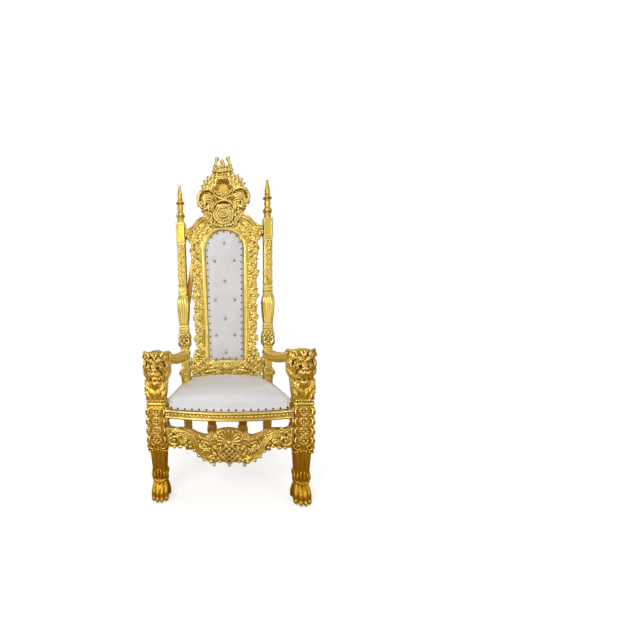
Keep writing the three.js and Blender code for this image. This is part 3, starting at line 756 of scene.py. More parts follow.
edge = [(0, 508), (150, 508), (194, 514), (216, 544), (post_side(574) - 27, 574),
        (post_side(592) - 27, 592), (203, 618), (188, 655)]
edge += [(waist(z) - 4 + 2.5 * math.sin(z / 9), z) for z in np.arange(690, 1321, 12)]
edge += [(206, 1346), (220, 1368), (post_side(1384) - 29, 1384), (post_side(1438) - 29, 1438),
         (223, 1437), (206, 1445), (190, 1461), (172, 1483), (151, 1499), (128, 1509)]
frame_edge = symmetric([(float(x), along(float(z))) for x, z in edge + CREST_ARC])

work = Carving()
FRAME_THICK, FRAME_FACE = 50, -3
work.slab([frame_edge, panel_outline(0)], FRAME_THICK, FRAME_FACE)
bead = [(x, -2, z, 15) for x, z in panel_outline(15.5)]
work.stroke(bead[:-1] + bead[:2], flat=0.62, sides=16)
fillet = [(x, -4, z, 2.8) for x, z in panel_outline(32.5)]
work.stroke(fillet + fillet[:2], sides=6)
work.tell("board, bead and fillet")

# %% Shoulders: three bands that sweep from the post to the crest
for inset, radius, front in ((6, 7.5, 6), (22, 8.5, 7), (37, 5, 4)):
    band = [(240, 1434), (222, 1435), (204, 1444), (187, 1461), (168, 1483), (147, 1498), (122, 1506),
            (104, 1500)]
    rows = [(x - inset * 0.45, front, z - inset * 0.86, radius) for x, z in band]
    rows[0] = (238, front, 1434 - inset, radius)
    stroke_pair(rows)
stroke_pair([(238, 5, 1436, 5), (238, 5, 1384, 5)])
work.tell("shoulders")

# %% A ground of small leaves under everything
stile_ground = [(150, 640), (156, 1300), (144, 1360), (96, 1412), (70, 1432), (96, 1452), (150, 1462),
                (196, 1424), (222, 1398), (212, 1368), (200, 1330), (192, 1100), (178, 760), (184, 660)]
work.foliage(up_ground(stile_ground), -1, 13, 22, 3, both=True)
foot_ground = [(0, 592), (108, 592), (134, 640), (190, 640), (222, 592), (226, 548), (196, 516), (0, 516)]
arch_ground = [(0, 1418), (50, 1408), (100, 1372), (120, 1330), (140, 1345), (130, 1400), (104, 1440),
               (104, 1466), (60, 1444), (0, 1436)]
work.foliage(up_ground(arch_ground), -2, 9, 16, 9, both=True)
work.foliage(up_ground(foot_ground), -1, 13, 22, 7, both=True)
work.tell("ground")

# %% Leaves and a flower under each shoulder
work.flower((182, -7, along(1372)), 25, petals=6, both=True)
leaf_pair([(190, 5, 1392, 6), (163, 7, 1404, 7), (139, 8, 1430, 6), (118, 6, 1462, 3)], 24, 6)
leaf_pair([(146, 5, 1338, 5), (152, 6, 1374, 6), (136, 7, 1404, 6), (112, 5, 1434, 3)], 17, 6)
work.volute((146, -6, along(1352)), 15, 1.2, 0, 1, 5, both=True)
work.tell("shoulder leaves")

# %% The running scroll up each stile
spots = np.arange(668, 1310, 66)
for k, z in enumerate(spots):
    side = 1 if k % 2 else -1
    middle = (waist(z) + 150) / 2 - 1
    x = middle + side * 9
    work.volute((x, -6, along(z)), 18, 1.3, 0 if side > 0 else math.pi, side, 6, rise=5, both=True)
    stem = [(x + side * 16, 6, z - 4, 5), (x + side * 8, 8, z + 20, 6), (middle - side * 8, 7, z + 40, 5),
            (middle - side * 20, 5, z + 58, 4)]
    leaf_pair(stem, 19, 5)
    if k % 3 == 1:
        work.flower((middle - side * 12, -8, along(z + 34)), 14, petals=5, both=True)
    if k % 4 == 2:
        for gap in (-9, 0, 9):
            bar = [(middle - 20, 5, z + 32 + gap, 4), (middle, 8, z + 34 + gap, 4.5),
                   (middle + 22, 5, z + 32 + gap, 4)]
            stroke_pair(bar)
work.tell("running scroll")

# %% The broken outer edge: round lobes of several sizes, and small ones beside the bead
for k, z in enumerate(np.arange(676, 1338, 22)):
    reach = (4, 0, 3, -2, 5, 1)[k % 6] + (5 if abs(z - 935) < 24 or abs(z - 795) < 20 else 0)
    size = (11, 8, 10)[k % 3]
    work.ball((waist(z) - 9 + reach, -5, along(z)), (size, 9, size + 4), turn=0.55 if k % 2 else -0.35,
              both=True)
    if k % 2:
        curl = [(waist(z) - 22, 7, z - 10, 5), (waist(z) - 8, 10, z - 2, 6.5),
                (waist(z) - 4 + reach, 7, z + 10, 4)]
        stroke_pair(curl)
for k, z in enumerate(np.arange(650, 1300, 19)):
    work.ball((154, -3, along(z)), (7, 6, 9), turn=0.5, both=True, sides=8)
work.tell("outer edge")

# %% Lower corners and the bottom rail
leaf_pair([(126, 5, 634, 7), (160, 8, 598, 9), (196, 8, 566, 8), (226, 5, 556, 4)], 32, 5)
leaf_pair([(112, 5, 584, 6), (146, 8, 558, 8), (180, 7, 534, 7), (204, 4, 522, 3)], 26, 5)
leaf_pair([(186, 4, 652, 5), (196, 6, 622, 6), (216, 5, 590, 4)], 20, 4)
work.volute((214, -6, along(560)), 17, 1.2, math.pi, 1, 6, both=True)
work.flower((0, -8, along(556)), 25, petals=7)
leaf_pair([(24, 6, 556, 6), (54, 8, 574, 7), (84, 7, 566, 6), (112, 4, 548, 3)], 20, 5)
work.volute((58, -6, along(540)), 15, 1.3, 0, -1, 5, both=True)
leaf_pair([(70, 4, 524, 5), (100, 6, 530, 5), (132, 4, 520, 3)], 15, 4)
for x, z in ((30, 534), (40, 528), (20, 526)):
    work.ball((x, -7, along(z)), 6, both=True)
work.stroke(up_rows([(-150, 2, 512, 4), (0, 4, 512, 4), (150, 2, 512, 4)]))

back_frame = work.fused("carved_back_frame", TO_BACK, voxel=2.2, keep=0.40)
dress(back_frame, gold, "gilded_wood", "back_frame")

# %% [markdown]
# ## The crest
#
# The crest is the richest carving. From the top: a crown with pearled prongs, leaf sprays
# on both sides, a dark hollow shell, an arc of pearls, two big scrolled wings, an arched
# plaque and a rose in a round border that laps over the frame.

# %% Crest
work = Carving()
outline = [(0, 1441), (30, 1444), (60, 1453), (89, 1475), (106, 1501)]
wing = [(122, 1516), (122, 1530), (138, 1546), (153, 1576), (162, 1606), (160, 1634), (150, 1655),
        (140, 1668), (122, 1676), (104, 1696), (90, 1722), (66, 1738)]
crown = [(62, 1766), (56, 1792), (47, 1808), (30, 1808), (21, 1806), (8, 1810), (0, 1814)]
crest_edge = symmetric(up_ground(outline + wing + crown))
work.slab([crest_edge], 38, -2)
ground = [(0, 1450), (60, 1462), (92, 1488), (112, 1520), (132, 1550), (148, 1580), (156, 1606),
          (148, 1648), (132, 1672), (104, 1690), (88, 1716), (60, 1730), (0, 1730)]
work.foliage(up_ground(ground), -3, 6.4, 13, 5, both=True,
             clear=[(0, along(1684), 34), (0, along(1570), 30)])
work.tell("crest board and ground")

# %% Crown: body, bands, jewels, palmettes, pearled prongs and a round head in the middle
work.ball((0, 10, along(1762)), (62, 31, 50), sides=24)
for z, half, front, radius in ((1724, 67, 12, 8), (1736, 64, 14, 3.5), (1767, 62, 15, 6.5),
                               (1777, 59, 14, 3), (1801, 53, 10, 5)):
    work.stroke(up_rows([(-half, front - 2, z + 8, radius), (-half / 2, front + 7, z + 1, radius),
                         (0, front + 11, z - 2, radius),
                         (half / 2, front + 7, z + 1, radius), (half, front - 2, z + 8, radius)]), sides=10)
crown_face = [(-56, 1735), (56, 1735), (50, 1800), (-50, 1800)]
work.foliage(up_ground(crown_face),
             lambda x, z: 9 - 31 * math.sqrt(max(0.05, 1 - (x / 62) ** 2)), 5.2, 11.5, 21)
for x, z in ((0, 1749), (19, 1750), (38, 1754), (54, 1758)):
    for s in ((1,) if x == 0 else (1, -1)):
        work.ball((s * x, -25 + abs(x) * 0.26, along(z)), (8, 6, 8.5) if x % 38 == 0 else (6, 5, 6),
                  turn=math.pi / 4)
for x in (0, 18, 36, 51):
    work.ball((x, -20 + x * 0.28, along(1788 + x * 0.06)), (9, 7, 13), turn=0.006 * x, both=x > 0)
    work.ball((x, -25 + x * 0.28, along(1785 + x * 0.06)), (3.5, 5, 8), turn=0.006 * x, both=x > 0)
for x in (9, 27, 45):
    work.ball((x, -18 + x * 0.26, along(1805)), 5.5, both=True, sides=8)
for k in range(7):
    t = k / 6
    work.ball((50 - 13 * t, -2 + 10 * t, along(1796 + 52 * t)), 12 - 3.8 * t, both=True)
stroke_pair([(50, -4, 1790, 10), (42, -8, 1828, 7), (37, -12, 1850, 5)])
work.ball((34, 13, along(1859)), 13.5, both=True, sides=16)
work.stroke(up_rows([(0, 0, 1804, 13), (0, -6, 1824, 10), (0, -8, 1838, 8)]))
work.ball((-3, 8, along(1838)), (13, 12, 16), sides=14)
work.ball((9, 6, along(1822)), (9, 9, 12), sides=12)
work.tell("crown")

# %% Clusters of full pointed leaves beside the crown
work.ball((66, -4, along(1698)), (38, 14, 46), turn=0.7, both=True, sides=16)
for reach, count, size, front in ((26, 3, 20, 17), (50, 4, 24, 18), (72, 5, 24, 9)):
    for k in range(count):
        a = math.radians(-20 + 104 * (k + 0.5) / count)
        x, z = 48 + reach * math.sin(a), 1656 + reach * 1.15 * math.cos(a)
        rise = np.array((math.sin(0.7 * a), math.cos(0.7 * a))) * size
        steps = ((-0.95, -4, 6), (-0.2, 3, 0.56 * size), (0.5, 3, 0.5 * size), (1.05, -3, 3))
        blade = [(x + t * rise[0], front + y, z + t * rise[1], r) for t, y, r in steps]
        stroke_pair(blade, flat=0.65, sides=10)
        vein = [(x + t * rise[0], front + 7 - 3 * t * t, z + t * rise[1], 2.4) for t in (-0.6, 0.1, 0.8)]
        stroke_pair(vein)
work.tell("leaf clusters")

# %% Hollow shell: a rim of petals above a dark dish, and pearls below it
for k in range(9):
    a = math.radians(-88 + 22 * k)
    x0, z0 = 30 * math.sin(a), 1680 + 22 * math.cos(a)
    x1, z1 = 48 * math.sin(a), 1682 + 38 * math.cos(a)
    work.stroke(up_rows([(x0, 3, z0, 4), (x1, 15, z1, 8.5)]))
for k in range(11):
    a = math.radians(-78 + 15.6 * k)
    work.ball((54 * math.sin(a), -20 - 5 * math.cos(a), along(1664 - 44 * math.cos(a))),
              8.5 if k % 2 else 6.5)
work.stroke(up_rows([(-60, 10, 1636, 6), (-28, 15, 1610, 7), (0, 17, 1602, 7), (28, 15, 1610, 7),
                     (60, 10, 1636, 6)]))
work.tell("shell")

# %% Wings: a deep leafy rim, feathers that sweep out from the middle, and a volute at the tip
rim = [(50, 10, 1640, 6), (78, 17, 1657, 8), (106, 21, 1661, 9), (134, 21, 1651, 9), (151, 18, 1628, 9),
       (156, 16, 1602, 9), (149, 14, 1576, 8), (136, 12, 1560, 6)]
stroke_pair(rim, sides=10)
for k in range(11):
    x, front, z, _ = smooth_path(rim, 16.0)[2 + k][:4]
    a = math.atan2(x - 104, z - 1604)
    work.ball((x + 3 * math.sin(a), -front + 3, along(z + 3 * math.cos(a))), (7, 8, 10), turn=a + 0.7,
              both=True)
for drop, rise, radius in ((17, 15, 8), (32, 18, 9), (47, 17, 8), (60, 12, 7)):
    feather = [(44 + drop * 0.2, 8, 1630 - drop * 0.9, 4), (76, rise, 1643 - drop, radius),
               (104, rise + 4, 1646 - drop, radius), (128 - drop * 0.1, rise, 1634 - drop * 0.9, radius),
               (141 - drop * 0.25, rise - 3, 1612 - drop * 0.7, 4)]
    stroke_pair(feather, sides=10)
    for t in (0.25, 0.5, 0.75):
        x, front, z = 60 + 70 * t, rise - 1, 1644 - drop - 18 * abs(t - 0.45) ** 1.4
        work.ball((x, -front, along(z - 6)), (8, 6, 4.5), turn=0.5, both=True, sides=8)
work.volute((132, -14, along(1570)), 22, 1.4, 0.6, -1, 8, rise=7, both=True)
leaf_pair([(148, 8, 1612, 6), (156, 9, 1592, 7), (154, 6, 1570, 5)], 12, 4, side=-1)
leaf_pair([(92, 8, 1560, 7), (112, 13, 1550, 8), (132, 9, 1542, 5)], 16, 4)
leaf_pair([(84, 8, 1590, 6), (92, 13, 1566, 7), (90, 9, 1536, 5)], 14, 4)
work.tell("wings")

# %% Arched plaque between leafy collars, and the rose under it
work.stroke(up_rows([(-66, 8, 1552, 6), (-44, 15, 1578, 7), (0, 19, 1592, 8), (44, 15, 1578, 7),
                     (66, 8, 1552, 6)]))
work.ball((0, -2, along(1566)), (40, 9, 20), sides=20)
for gap in (0, 11):
    collar = [(60 + gap, 10, 1590, 5), (66 + gap, 15, 1562, 6.5), (58 + gap, 11, 1530, 5)]
    stroke_pair(collar)
for z in (1540, 1556, 1572):
    work.ball((76, -14, along(z)), (8, 6, 7), turn=0.6, both=True, sides=8)
for reach, squash, radius, front in ((29, 0.80, 5.5, 16), (14, 0.8, 4, 19)):
    oval = []
    for a in np.linspace(0, 2 * math.pi, 17):
        oval.append((reach * math.sin(a), front, 1513 + reach * squash * math.cos(a), radius))
    work.stroke(up_rows(oval))
work.ball((0, -20, along(1513)), (8, 7, 6.5), sides=12)
for k in range(12):
    a = 2 * math.pi * k / 12
    work.ball((22 * math.sin(a), -15, along(1513 + 17.5 * math.cos(a))), (5, 7, 6), turn=a, sides=8)
for k in range(11):
    a = math.radians(-120 + 24 * k)
    work.ball((42 * math.sin(a), -13, along(1511 - 38 * math.cos(a))), (7.5, 7, 13), turn=-a + 0.9)
for reach, radius in ((60, 6.5), (50, 3)):
    arc = []
    for a in np.linspace(-112, 112, 15):
        a = math.radians(a)
        arc.append((reach * math.sin(a), 14, 1510 - reach * 0.98 * math.cos(a), radius))
    work.stroke(up_rows(arc))
work.tell("plaque and rose")

# %% Frilled scrolls where the crest meets the shoulders
work.volute((90, -11, along(1503)), 21, 1.3, math.pi, 1, 7, both=True)
for k in range(6):
    a = math.radians(10 + 24 * k)
    frill = [(90 + 18 * math.sin(a), 7, 1506 + 18 * math.cos(a), 5),
             (90 + 31 * math.sin(a), 9, 1506 + 30 * math.cos(a), 6)]
    stroke_pair(frill)
leaf_pair([(66, 8, 1474, 6), (84, 11, 1484, 7), (98, 8, 1498, 5)], 14, 4)
# A fringe of leaf tips that laps over the frame and hides the joint
for x, z in ((12, 1436), (28, 1439), (44, 1443), (60, 1449), (75, 1458), (88, 1470), (99, 1484),
             (107, 1497)):
    work.ball((x, -18, along(z)), (9, 5, 9), turn=-0.012 * x, both=True)
    stroke_pair([(x - 2, 16, z + 2, 5), (x - 9, 12, z + 14, 5)])

crest = work.fused("carved_crest", TO_BACK, voxel=1.8, keep=0.5)
dress(crest, gold, "gilded_wood", "crest")

# %% [markdown]
# ## The apron
#
# A pierced-looking board under the front rail. Triple reeds sweep from leafy volutes at
# the legs down to a fan, a strapwork lattice and two flowers in the middle. The carving
# is planted on a board in the darker painted-shade gilding, whose edge draws a thin dark
# line of painted shadow along the top.

# %% Apron
work = Carving()
RAIL_END = rail_high[0] / MM
under = [(0, 192), (16, 209), (44, 212), (64, 208), (76, 199), (88, 212), (122, 219), (146, 239),
         (168, 268), (186, 286), (206, 293), (232, 284), (262, 285), (RAIL_END - 6, 286),
         (RAIL_END - 6, 302), (RAIL_END, 302)]
over = [(RAIL_END, 388), (264, 374), (208, 374), (178, 367), (149, 350), (116, 339), (98, 341), (82, 357),
        (68, 353), (54, 364), (30, 371), (0, 374)]
apron_edge = symmetric(under + over)
work.slab([apron_edge], 14, -1)
ends_ground = [(204, 368), (294, 380), (294, 296), (204, 300), (176, 300), (160, 330)]
work.foliage(ends_ground, -1.5, 9, 17, 11, both=True)
middle_ground = [(0, 346), (60, 346), (92, 330), (140, 330), (150, 300), (140, 262), (112, 232),
                 (70, 214), (0, 208)]
work.foliage(middle_ground, -1.5, 8.6, 17, 12, both=True, clear=[(0, 256, 36)])
work.tell("apron board and ground")

# %% Fan, reeded sweep and feathers
for k in range(9):
    a = math.radians(-80 + 20 * k)
    reach = 58 - 6 * abs(math.sin(a))
    work.stroke([(12 * math.sin(a), -8, 314 + 12 * math.cos(a), 3),
                 (34 * math.sin(a), -9, 314 + 34 * math.cos(a), 6),
                 (reach * math.sin(a), -7, 314 + reach * math.cos(a), 9)])
work.ball((0, -12, 314), (13, 8, 12))
sweep = [(282, -4, 372, 5), (250, -7, 370, 7), (214, -8, 358, 8), (184, -8, 338, 8), (162, -8, 308, 8),
         (150, -8, 278, 8), (132, -8, 250, 7), (106, -7, 230, 6), (80, -6, 212, 4)]
work.reeds(sweep, (-1.15, 0.0, 1.15), 0.68, both=True)
work.leaf([(52, -7, 322, 5), (82, -9, 320, 6), (112, -8, 328, 5), (142, -5, 340, 3)], 23, 7, side=-1,
          both=True, lean=0.3)
work.leaf([(60, -6, 306, 4), (92, -8, 304, 5), (132, -6, 318, 3)], 17, 6, side=-1, both=True, lean=0.3)
work.tell("fan and sweep")

# %% Leafy volutes and collars next to the legs
work.volute((262, -7, 326), 32, 1.5, 0.4, 1, 8, rise=6, both=True)
work.leaf([(284, -6, 350, 6), (276, -9, 318, 7), (252, -7, 296, 4)], 18, 4, both=True)
work.leaf([(206, -5, 330, 5), (220, -8, 310, 6), (240, -6, 296, 4)], 18, 4, both=True)
for x, radius in ((291, 5), (297, 3)):
    work.stroke([(x, -5, 384, radius), (x, -8, 345, radius), (x, -5, 304, radius)], both=True)
work.ball((240, -7, 289), (8, 7, 8), both=True)
work.tell("volutes and collars")

# %% Strapwork lattice
for points in ([(-46, 340), (0, 306), (52, 258), (0, 204)], [(46, 340), (0, 306), (-52, 258), (0, 204)]):
    for (x0, z0), (x1, z1) in zip(points, points[1:]):
        for gap in (-3.2, 3.2):
            nx, nz = (z1 - z0), -(x1 - x0)
            length = math.hypot(nx, nz)
            dx, dz = gap * nx / length, gap * nz / length
            work.stroke([(x0 + dx, -9, z0 + dz, 2.8), ((x0 + x1) / 2 + dx, -11, (z0 + z1) / 2 + dz, 2.8),
                         (x1 + dx, -9, z1 + dz, 2.8)])
for k in (-2, -1, 0, 1, 2):
    for s in (1, -1):
        cx, cz = 13 * k, 256 - 13 * k * s
        work.stroke([(cx - 19, -9, cz - 19 * s, 2.6), (cx, -11, cz, 3.2), (cx + 19, -9, cz + 19 * s, 2.6)])
work.ball((0, -6, 200), (8, 8, 9))
for x, z in ((44, 340), (26, 228), (46, 216)):
    work.ball((x, -8, z), (7, 6, 7), both=True)
work.tell("lattice")

# %% Flowers, buds and leaf tips
work.flower((110, -9, 272), 26, petals=6, both=True)
work.flower((66, -8, 250), 13, petals=5, both=True)
work.leaf([(80, -6, 288, 4), (60, -8, 280, 5), (54, -6, 262, 3)], 12, 3, both=True)
work.leaf([(130, -6, 252, 4), (104, -8, 238, 6), (76, -6, 226, 5), (58, -5, 222, 3)], 15, 5, both=True)
work.leaf([(96, -6, 228, 5), (84, -8, 214, 6), (76, -5, 203, 3)], 10, 3, both=True)
work.leaf([(140, -6, 300, 5), (136, -8, 284, 6), (140, -6, 262, 4)], 12, 3, both=True)

for x, z in ((72, 200), (88, 214), (120, 224), (146, 244), (166, 272), (186, 288), (206, 296), (232, 288),
             (262, 288)):
    work.ball((x, -6, z), (10, 8, 8), turn=0.8, both=True)
for x, z in ((268, 366), (244, 366), (222, 364), (200, 360), (184, 352)):
    work.ball((x, -7, z), (10, 7, 7), turn=-0.5, both=True)

apron = work.fused("carved_apron", TO_APRON, voxel=1.6, keep=0.5)
dress(apron, gold, "gilded_wood", "apron_front")
# The board behind takes the darker painted-shade gilding, so its top edge reads as a painted shadow line
board = Carving()
board.slab([symmetric([(x, z + (0 if z < 320 else 4)) for x, z in under + over])], 26, 13)
apron_board = board.object("apron_board", TO_APRON)
worked(apron_board, "BEVEL", width=1 * MM)
dress(apron_board, painted_shade_gold, "gilded_wood")

# %% [markdown]
# ## The front legs and their lions
#
# Each front leg is one carving. A clawed foot carries a fluted square shaft, a skirt of
# curls, a block with four roses, a collar and a lion's chest and head. The lion is made
# as a sculptor masses it: skull, brows, muzzle and jaw first, with the mouth left open
# between them, and then the mane, lock by lock, flowing back from the face.

# %% Front legs
X0, Y0 = LEG_X / MM, LEG_Y / MM
HX, HY, HEAD_Z = HEAD_X / MM, HEAD_Y / MM, 668


def leg_ring(z, side, front, back, power, carve=None):
    """One level of the leg, cut in or let out round its axis by carve."""
    ring = []
    for x, y, level in superellipse((X0, Y0, z), side, front, back, power, 72):
        if carve:
            a = math.atan2(x - X0, -(y - Y0))
            grow = carve(a)
            reach = math.hypot(x - X0, y - Y0)
            x, y = X0 + (x - X0) * (1 + grow / reach), Y0 + (y - Y0) * (1 + grow / reach)
        ring.append((x, y, level))
    return ring


def flute(depth):
    """Twelve hollow flutes with thin ridges between."""
    return lambda a: depth * (abs(math.cos(6 * a)) ** 0.6 - 1)


def shaft_rings():
    """The leg's blank from the ankle to the lion's chest."""
    rows = [(0, 30, 30, 34, 3, 0), (60, 30, 30, 32, 3, 0), (86, 29, 30, 31, 3, 0), (96, 31, 32, 32, 4, 0),
            (104, 33, 34, 33, 4, 0), (112, 33, 34, 33, 4, 0), (116, 31, 32, 32, 4, 0),
            (124, 32, 33, 33, 5, 0), (130, 33, 34, 34, 6, 4), (190, 37, 38, 38, 6, 4),
            (250, 41, 42, 42, 6, 4), (256, 43, 43, 43, 5, 0), (262, 44, 44, 44, 4, 0),
            (300, 45, 45, 45, 6, 0), (306, 45, 45, 45, 9, 0), (488, 45, 45, 45, 9, 0),
            (491, 44, 44, 44, 7, 0), (494, 49, 49, 47, 6, 0), (500, 51, 51, 48, 6, 0),
            (506, 49, 49, 47, 6, 0), (511, 45, 44, 45, 5, 0), (536, 47, 44, 46, 3.5, 0),
            (560, 50, 40, 48, 3, 0), (590, 52, 34, 52, 2.6, 0), (640, 50, 30, 60, 2.4, 0),
            (700, 40, 20, 56, 2.2, 0)]
    return [leg_ring(z, s, f, b, p, flute(depth) if depth else None) for z, s, f, b, p, depth in rows]


def on_skull(turn, lift, grow=1.0):
    """A point on the egg of the lion's head: turn from the front, lift above the middle, in degrees."""
    a, e = math.radians(turn), math.radians(lift)
    side, front, back, tall = 62, 44, 78, 82
    depth = front + (back - front) * (0.5 - 0.5 * math.cos(a))
    x = HX + grow * side * math.cos(e) * math.sin(a)
    y = HY - grow * depth * math.cos(e) * math.cos(a)
    return x, y, HEAD_Z + grow * tall * math.sin(e)


def skull_out(turn, lift):
    """The way out of the skull at a point."""
    p, q = np.array(on_skull(turn, lift, 1.0)), np.array(on_skull(turn, lift, 1.1))
    return unit(q - p)


work = Carving()
work.loft(shaft_rings())

# Head masses
skull = []
for lift in np.linspace(-80, 80, 15):
    skull.append([on_skull(turn, lift, 0.93) for turn in np.arange(0, 360, 15)])
work.loft(skull)


def face(x, forward, z):
    """A point of the face, from the axis of the head."""
    return HX + x, HY - forward, z


def pair_ball(x, forward, z, size, turn=0.0):
    """A ball on each side of the face."""
    work.ball(face(x, forward, z), size, turn)
    work.ball(face(-x, forward, z), size, -turn)


def pair_stroke(rows):
    """A stroke on each side of the face."""
    for s in (1, -1):
        work.stroke([(*face(s * x, f, z), r) for x, f, z, r in rows], step=3.0, sides=10)


work.tell("shaft and skull")

# %% Forehead, bridge of the nose and the broad muzzle
work.ball(face(0, 30, 694), (42, 27, 40), sides=16)
work.ball(face(0, 54, 658), (29, 28, 20), sides=16)
pair_ball(20, 40, 686, (22, 17, 24))
pair_ball(28, 34, 656, (19, 20, 32))
pair_ball(36, 4, 720, (27, 34, 25))
bridge = [(*face(0, 46, 726), 11), (*face(0, 60, 704), 12), (*face(0, 73, 688), 13),
          (*face(0, 82, 674), 12)]
work.stroke(bridge, flat=0.85, sides=12)
work.ball(face(0, 87, 673), (18, 9, 8))
pair_ball(11, 86, 669, (7, 6, 6))
work.tell("forehead and muzzle")

# %% Heavy lips that hang down at the corners of an open mouth
pair_ball(15, 74, 657, (17, 16, 12), turn=0.35)
pair_stroke([(2, 88, 662, 5), (7, 88, 652, 8), (19, 80, 646, 9), (29, 66, 636, 8), (33, 54, 620, 6)])
for row in range(3):
    pair_ball(12 + 5 * row, 91 - 4 * row, 657 - row, (2.4, 3, 2.4))
work.tell("lips")

# %% Brows, deep eyes and cheekbones
pair_stroke([(4, 68, 703, 8), (17, 69, 714, 10), (33, 55, 718, 8), (46, 34, 706, 5)])
pair_stroke([(3, 58, 726, 5), (9, 52, 740, 7), (14, 38, 752, 5)])
pair_ball(21, 56, 698, (9.5, 9, 8))
pair_stroke([(9, 64, 695, 4), (21, 66, 706, 4), (34, 53, 700, 4)])
pair_stroke([(9, 63, 691, 3.5), (21, 63, 688, 4), (34, 52, 692, 3.5)])
pair_stroke([(27, 60, 682, 7), (39, 48, 676, 8.5), (46, 34, 662, 7), (43, 32, 640, 6), (36, 36, 624, 5)])
pair_stroke([(24, 64, 674, 4), (33, 58, 664, 5), (37, 50, 648, 4)])
work.tell("brows, eyes and cheeks")

# %% Jaw, tongue and teeth, with the throat left dark
jaw = [(*face(-29, 44, 616), 6), (*face(-20, 60, 608), 7), (*face(0, 70, 604), 8),
       (*face(20, 60, 608), 7), (*face(29, 44, 616), 6)]
work.stroke(jaw, sides=10, step=3, out=(0, 0, 1))
work.ball(face(0, 48, 600), (24, 20, 9), sides=14)
work.ball(face(0, 58, 613), (10, 13, 5))
pair_ball(14, 76, 636, (4, 4.5, 10))
pair_ball(11, 70, 616, (3.2, 4, 7))
for x in (-6, 0, 6):
    work.ball(face(x, 80, 643), (3.2, 3.5, 4.5), sides=8)
    work.ball(face(x, 71, 612), (3, 3.5, 4), sides=8)
work.ball(face(0, 62, 595), (17, 13, 11))
work.tell("jaw and teeth")

# %% Beard
for x, low in ((0, 560), (9, 566), (-9, 566), (19, 572), (-19, 572)):
    beard = [(*face(x, 62 - abs(x) * 0.3, 596), 7), (*face(x * 1.2, 59 - abs(x) * 0.3, 582), 7),
             (*face(x * 0.8, 52, low), 3)]
    work.stroke(beard, sides=8)
work.tell("beard")

# %% Ears and the curl beside each
pair_ball(60, -2, 724, (12, 9, 13), turn=0.35)
for s in (1, -1):
    rows = []
    for a in np.linspace(-150, 150, 9):
        a = math.radians(a + 20 * s)
        rows.append((*face(s * 60 + 9 * math.sin(a), 6, 724 + 11 * math.cos(a)), 3.5))
    work.stroke(rows)
work.tell("ears")

# %% Mane: tiers of wavy locks that flow back and down from the face
tiers = [
    # first turn, last turn, locks, start lift, end lift, radius, wave
    (14, 56, 4, 44, 74, 8.5, 5),
    (50, 62, 1, 40, 6, 9, 4),
    (56, 172, 9, 66, 24, 9.5, 7),
    (52, 174, 10, 32, -10, 10, 7),
    (50, 172, 10, 0, -40, 10, 8),
    (44, 172, 9, -30, -66, 9.5, 8),
]
for first, last, locks, high, low, radius, wave in tiers:
    for k in range(locks):
        turn = first + (last - first) * (k + 0.5) / locks
        for s in (1, -1):
            rows = []
            for t in (0, 0.25, 0.5, 0.75, 1):
                bend = wave * math.sin(2 * math.pi * t + k)
                lift = high + (low - high) * t
                back_sweep = 9 * t if high < 60 else 0
                swell = (0.55, 0.95, 1.0, 0.8, 0.4)[int(t * 4)]
                grow = 1.0 + 0.05 * math.sin(math.pi * t) + (0.05 if t == 1 else 0)
                rows.append((*on_skull(s * (turn + bend + back_sweep), lift, grow), radius * swell))
            mid = skull_out(s * turn, (high + low) / 2)
            aside = unit(np.cross(mid, (0, 0, 1)))
            for strand in (-0.5, 0.5):
                moved = [(*(np.array(row[:3]) + aside * row[3] * strand * 1.25),
                          row[3] * 0.7) for row in rows]
                work.stroke(moved, flat=0.95, out=mid, sides=6)
for s in (1, -1):
    for k in range(5):
        x, y = 16 + 10 * k, 30 - 14 * abs(k - 2)
        tuft = [(*face(s * (x - 8), y + 14, 728), 6), (*face(s * x, y + 4, 744), 8),
                (*face(s * (x + 9), y - 14, 738), 6),
                (*face(s * (x + 12), y - 28, 716), 4)]
        work.stroke(tuft, out=(0, -0.3, 1), sides=8)
for turn in (0, 22, -22, 45, -45, 150, -150, 180, 110, -110):
    start, stop = (62, 88) if abs(turn) < 60 else (60, 86)
    rows = [(*on_skull(turn + 6 * math.sin(3 * t), start + (stop - start) * t, 1.0),
             8 * (1 - 0.5 * t)) for t in (0, 0.5, 1)]
    work.stroke(rows, out=(0, -0.3, 1))
work.tell("mane")

# %% Lobes of the mane over the shoulders, and the folded pelt on the chest
for k in range(15):
    turn = 44 + (316 - 44) * k / 14
    a = math.radians(turn)
    rows = []
    for t in (0, 0.35, 0.7, 1):
        reach_x, reach_y = 52 - 4 * t, 50 - 3 * t
        bend = a + 0.10 * math.sin(6 * t + k)
        rows.append((X0 + reach_x * math.sin(bend), Y0 - reach_y * math.cos(bend), 604 - 74 * t,
                     10.5 * (1 - 0.62 * t)))
    work.stroke(rows, flat=0.8, out=(math.sin(a), -math.cos(a), 0.01))
for s in (1, -1):
    for x0, z0, x1, z1, width in ((40, 596, 14, 540, 15), (44, 566, 24, 520, 14), (22, 586, 3, 530, 13)):
        spine = [(X0 + s * x0, Y0 - 44, z0, 5), (X0 + s * (x0 + x1) / 2, Y0 - 48, (z0 + z1) / 2, 6),
                 (X0 + s * x1, Y0 - 47, z1, 4)]
        work.leaf(spine, width, 4)
for s in (1, -1):
    for x in (6, 18, 30, 41):
        lock = [(X0 + s * x, Y0 - 43 + 0.08 * x, 600, 7), (X0 + s * (x + 3), Y0 - 45 + 0.1 * x, 576, 8),
                (X0 + s * (x - 3), Y0 - 46 + 0.1 * x, 550, 7), (X0 + s * (x + 2), Y0 - 44 + 0.1 * x, 522,
                                                                6)]
        work.stroke(lock, flat=0.7)
for k in range(7):
    x = -36 + 12 * k
    work.ball((X0 + x, Y0 - 47, 517), (6, 5, 6), sides=8)

work.tell("chest")


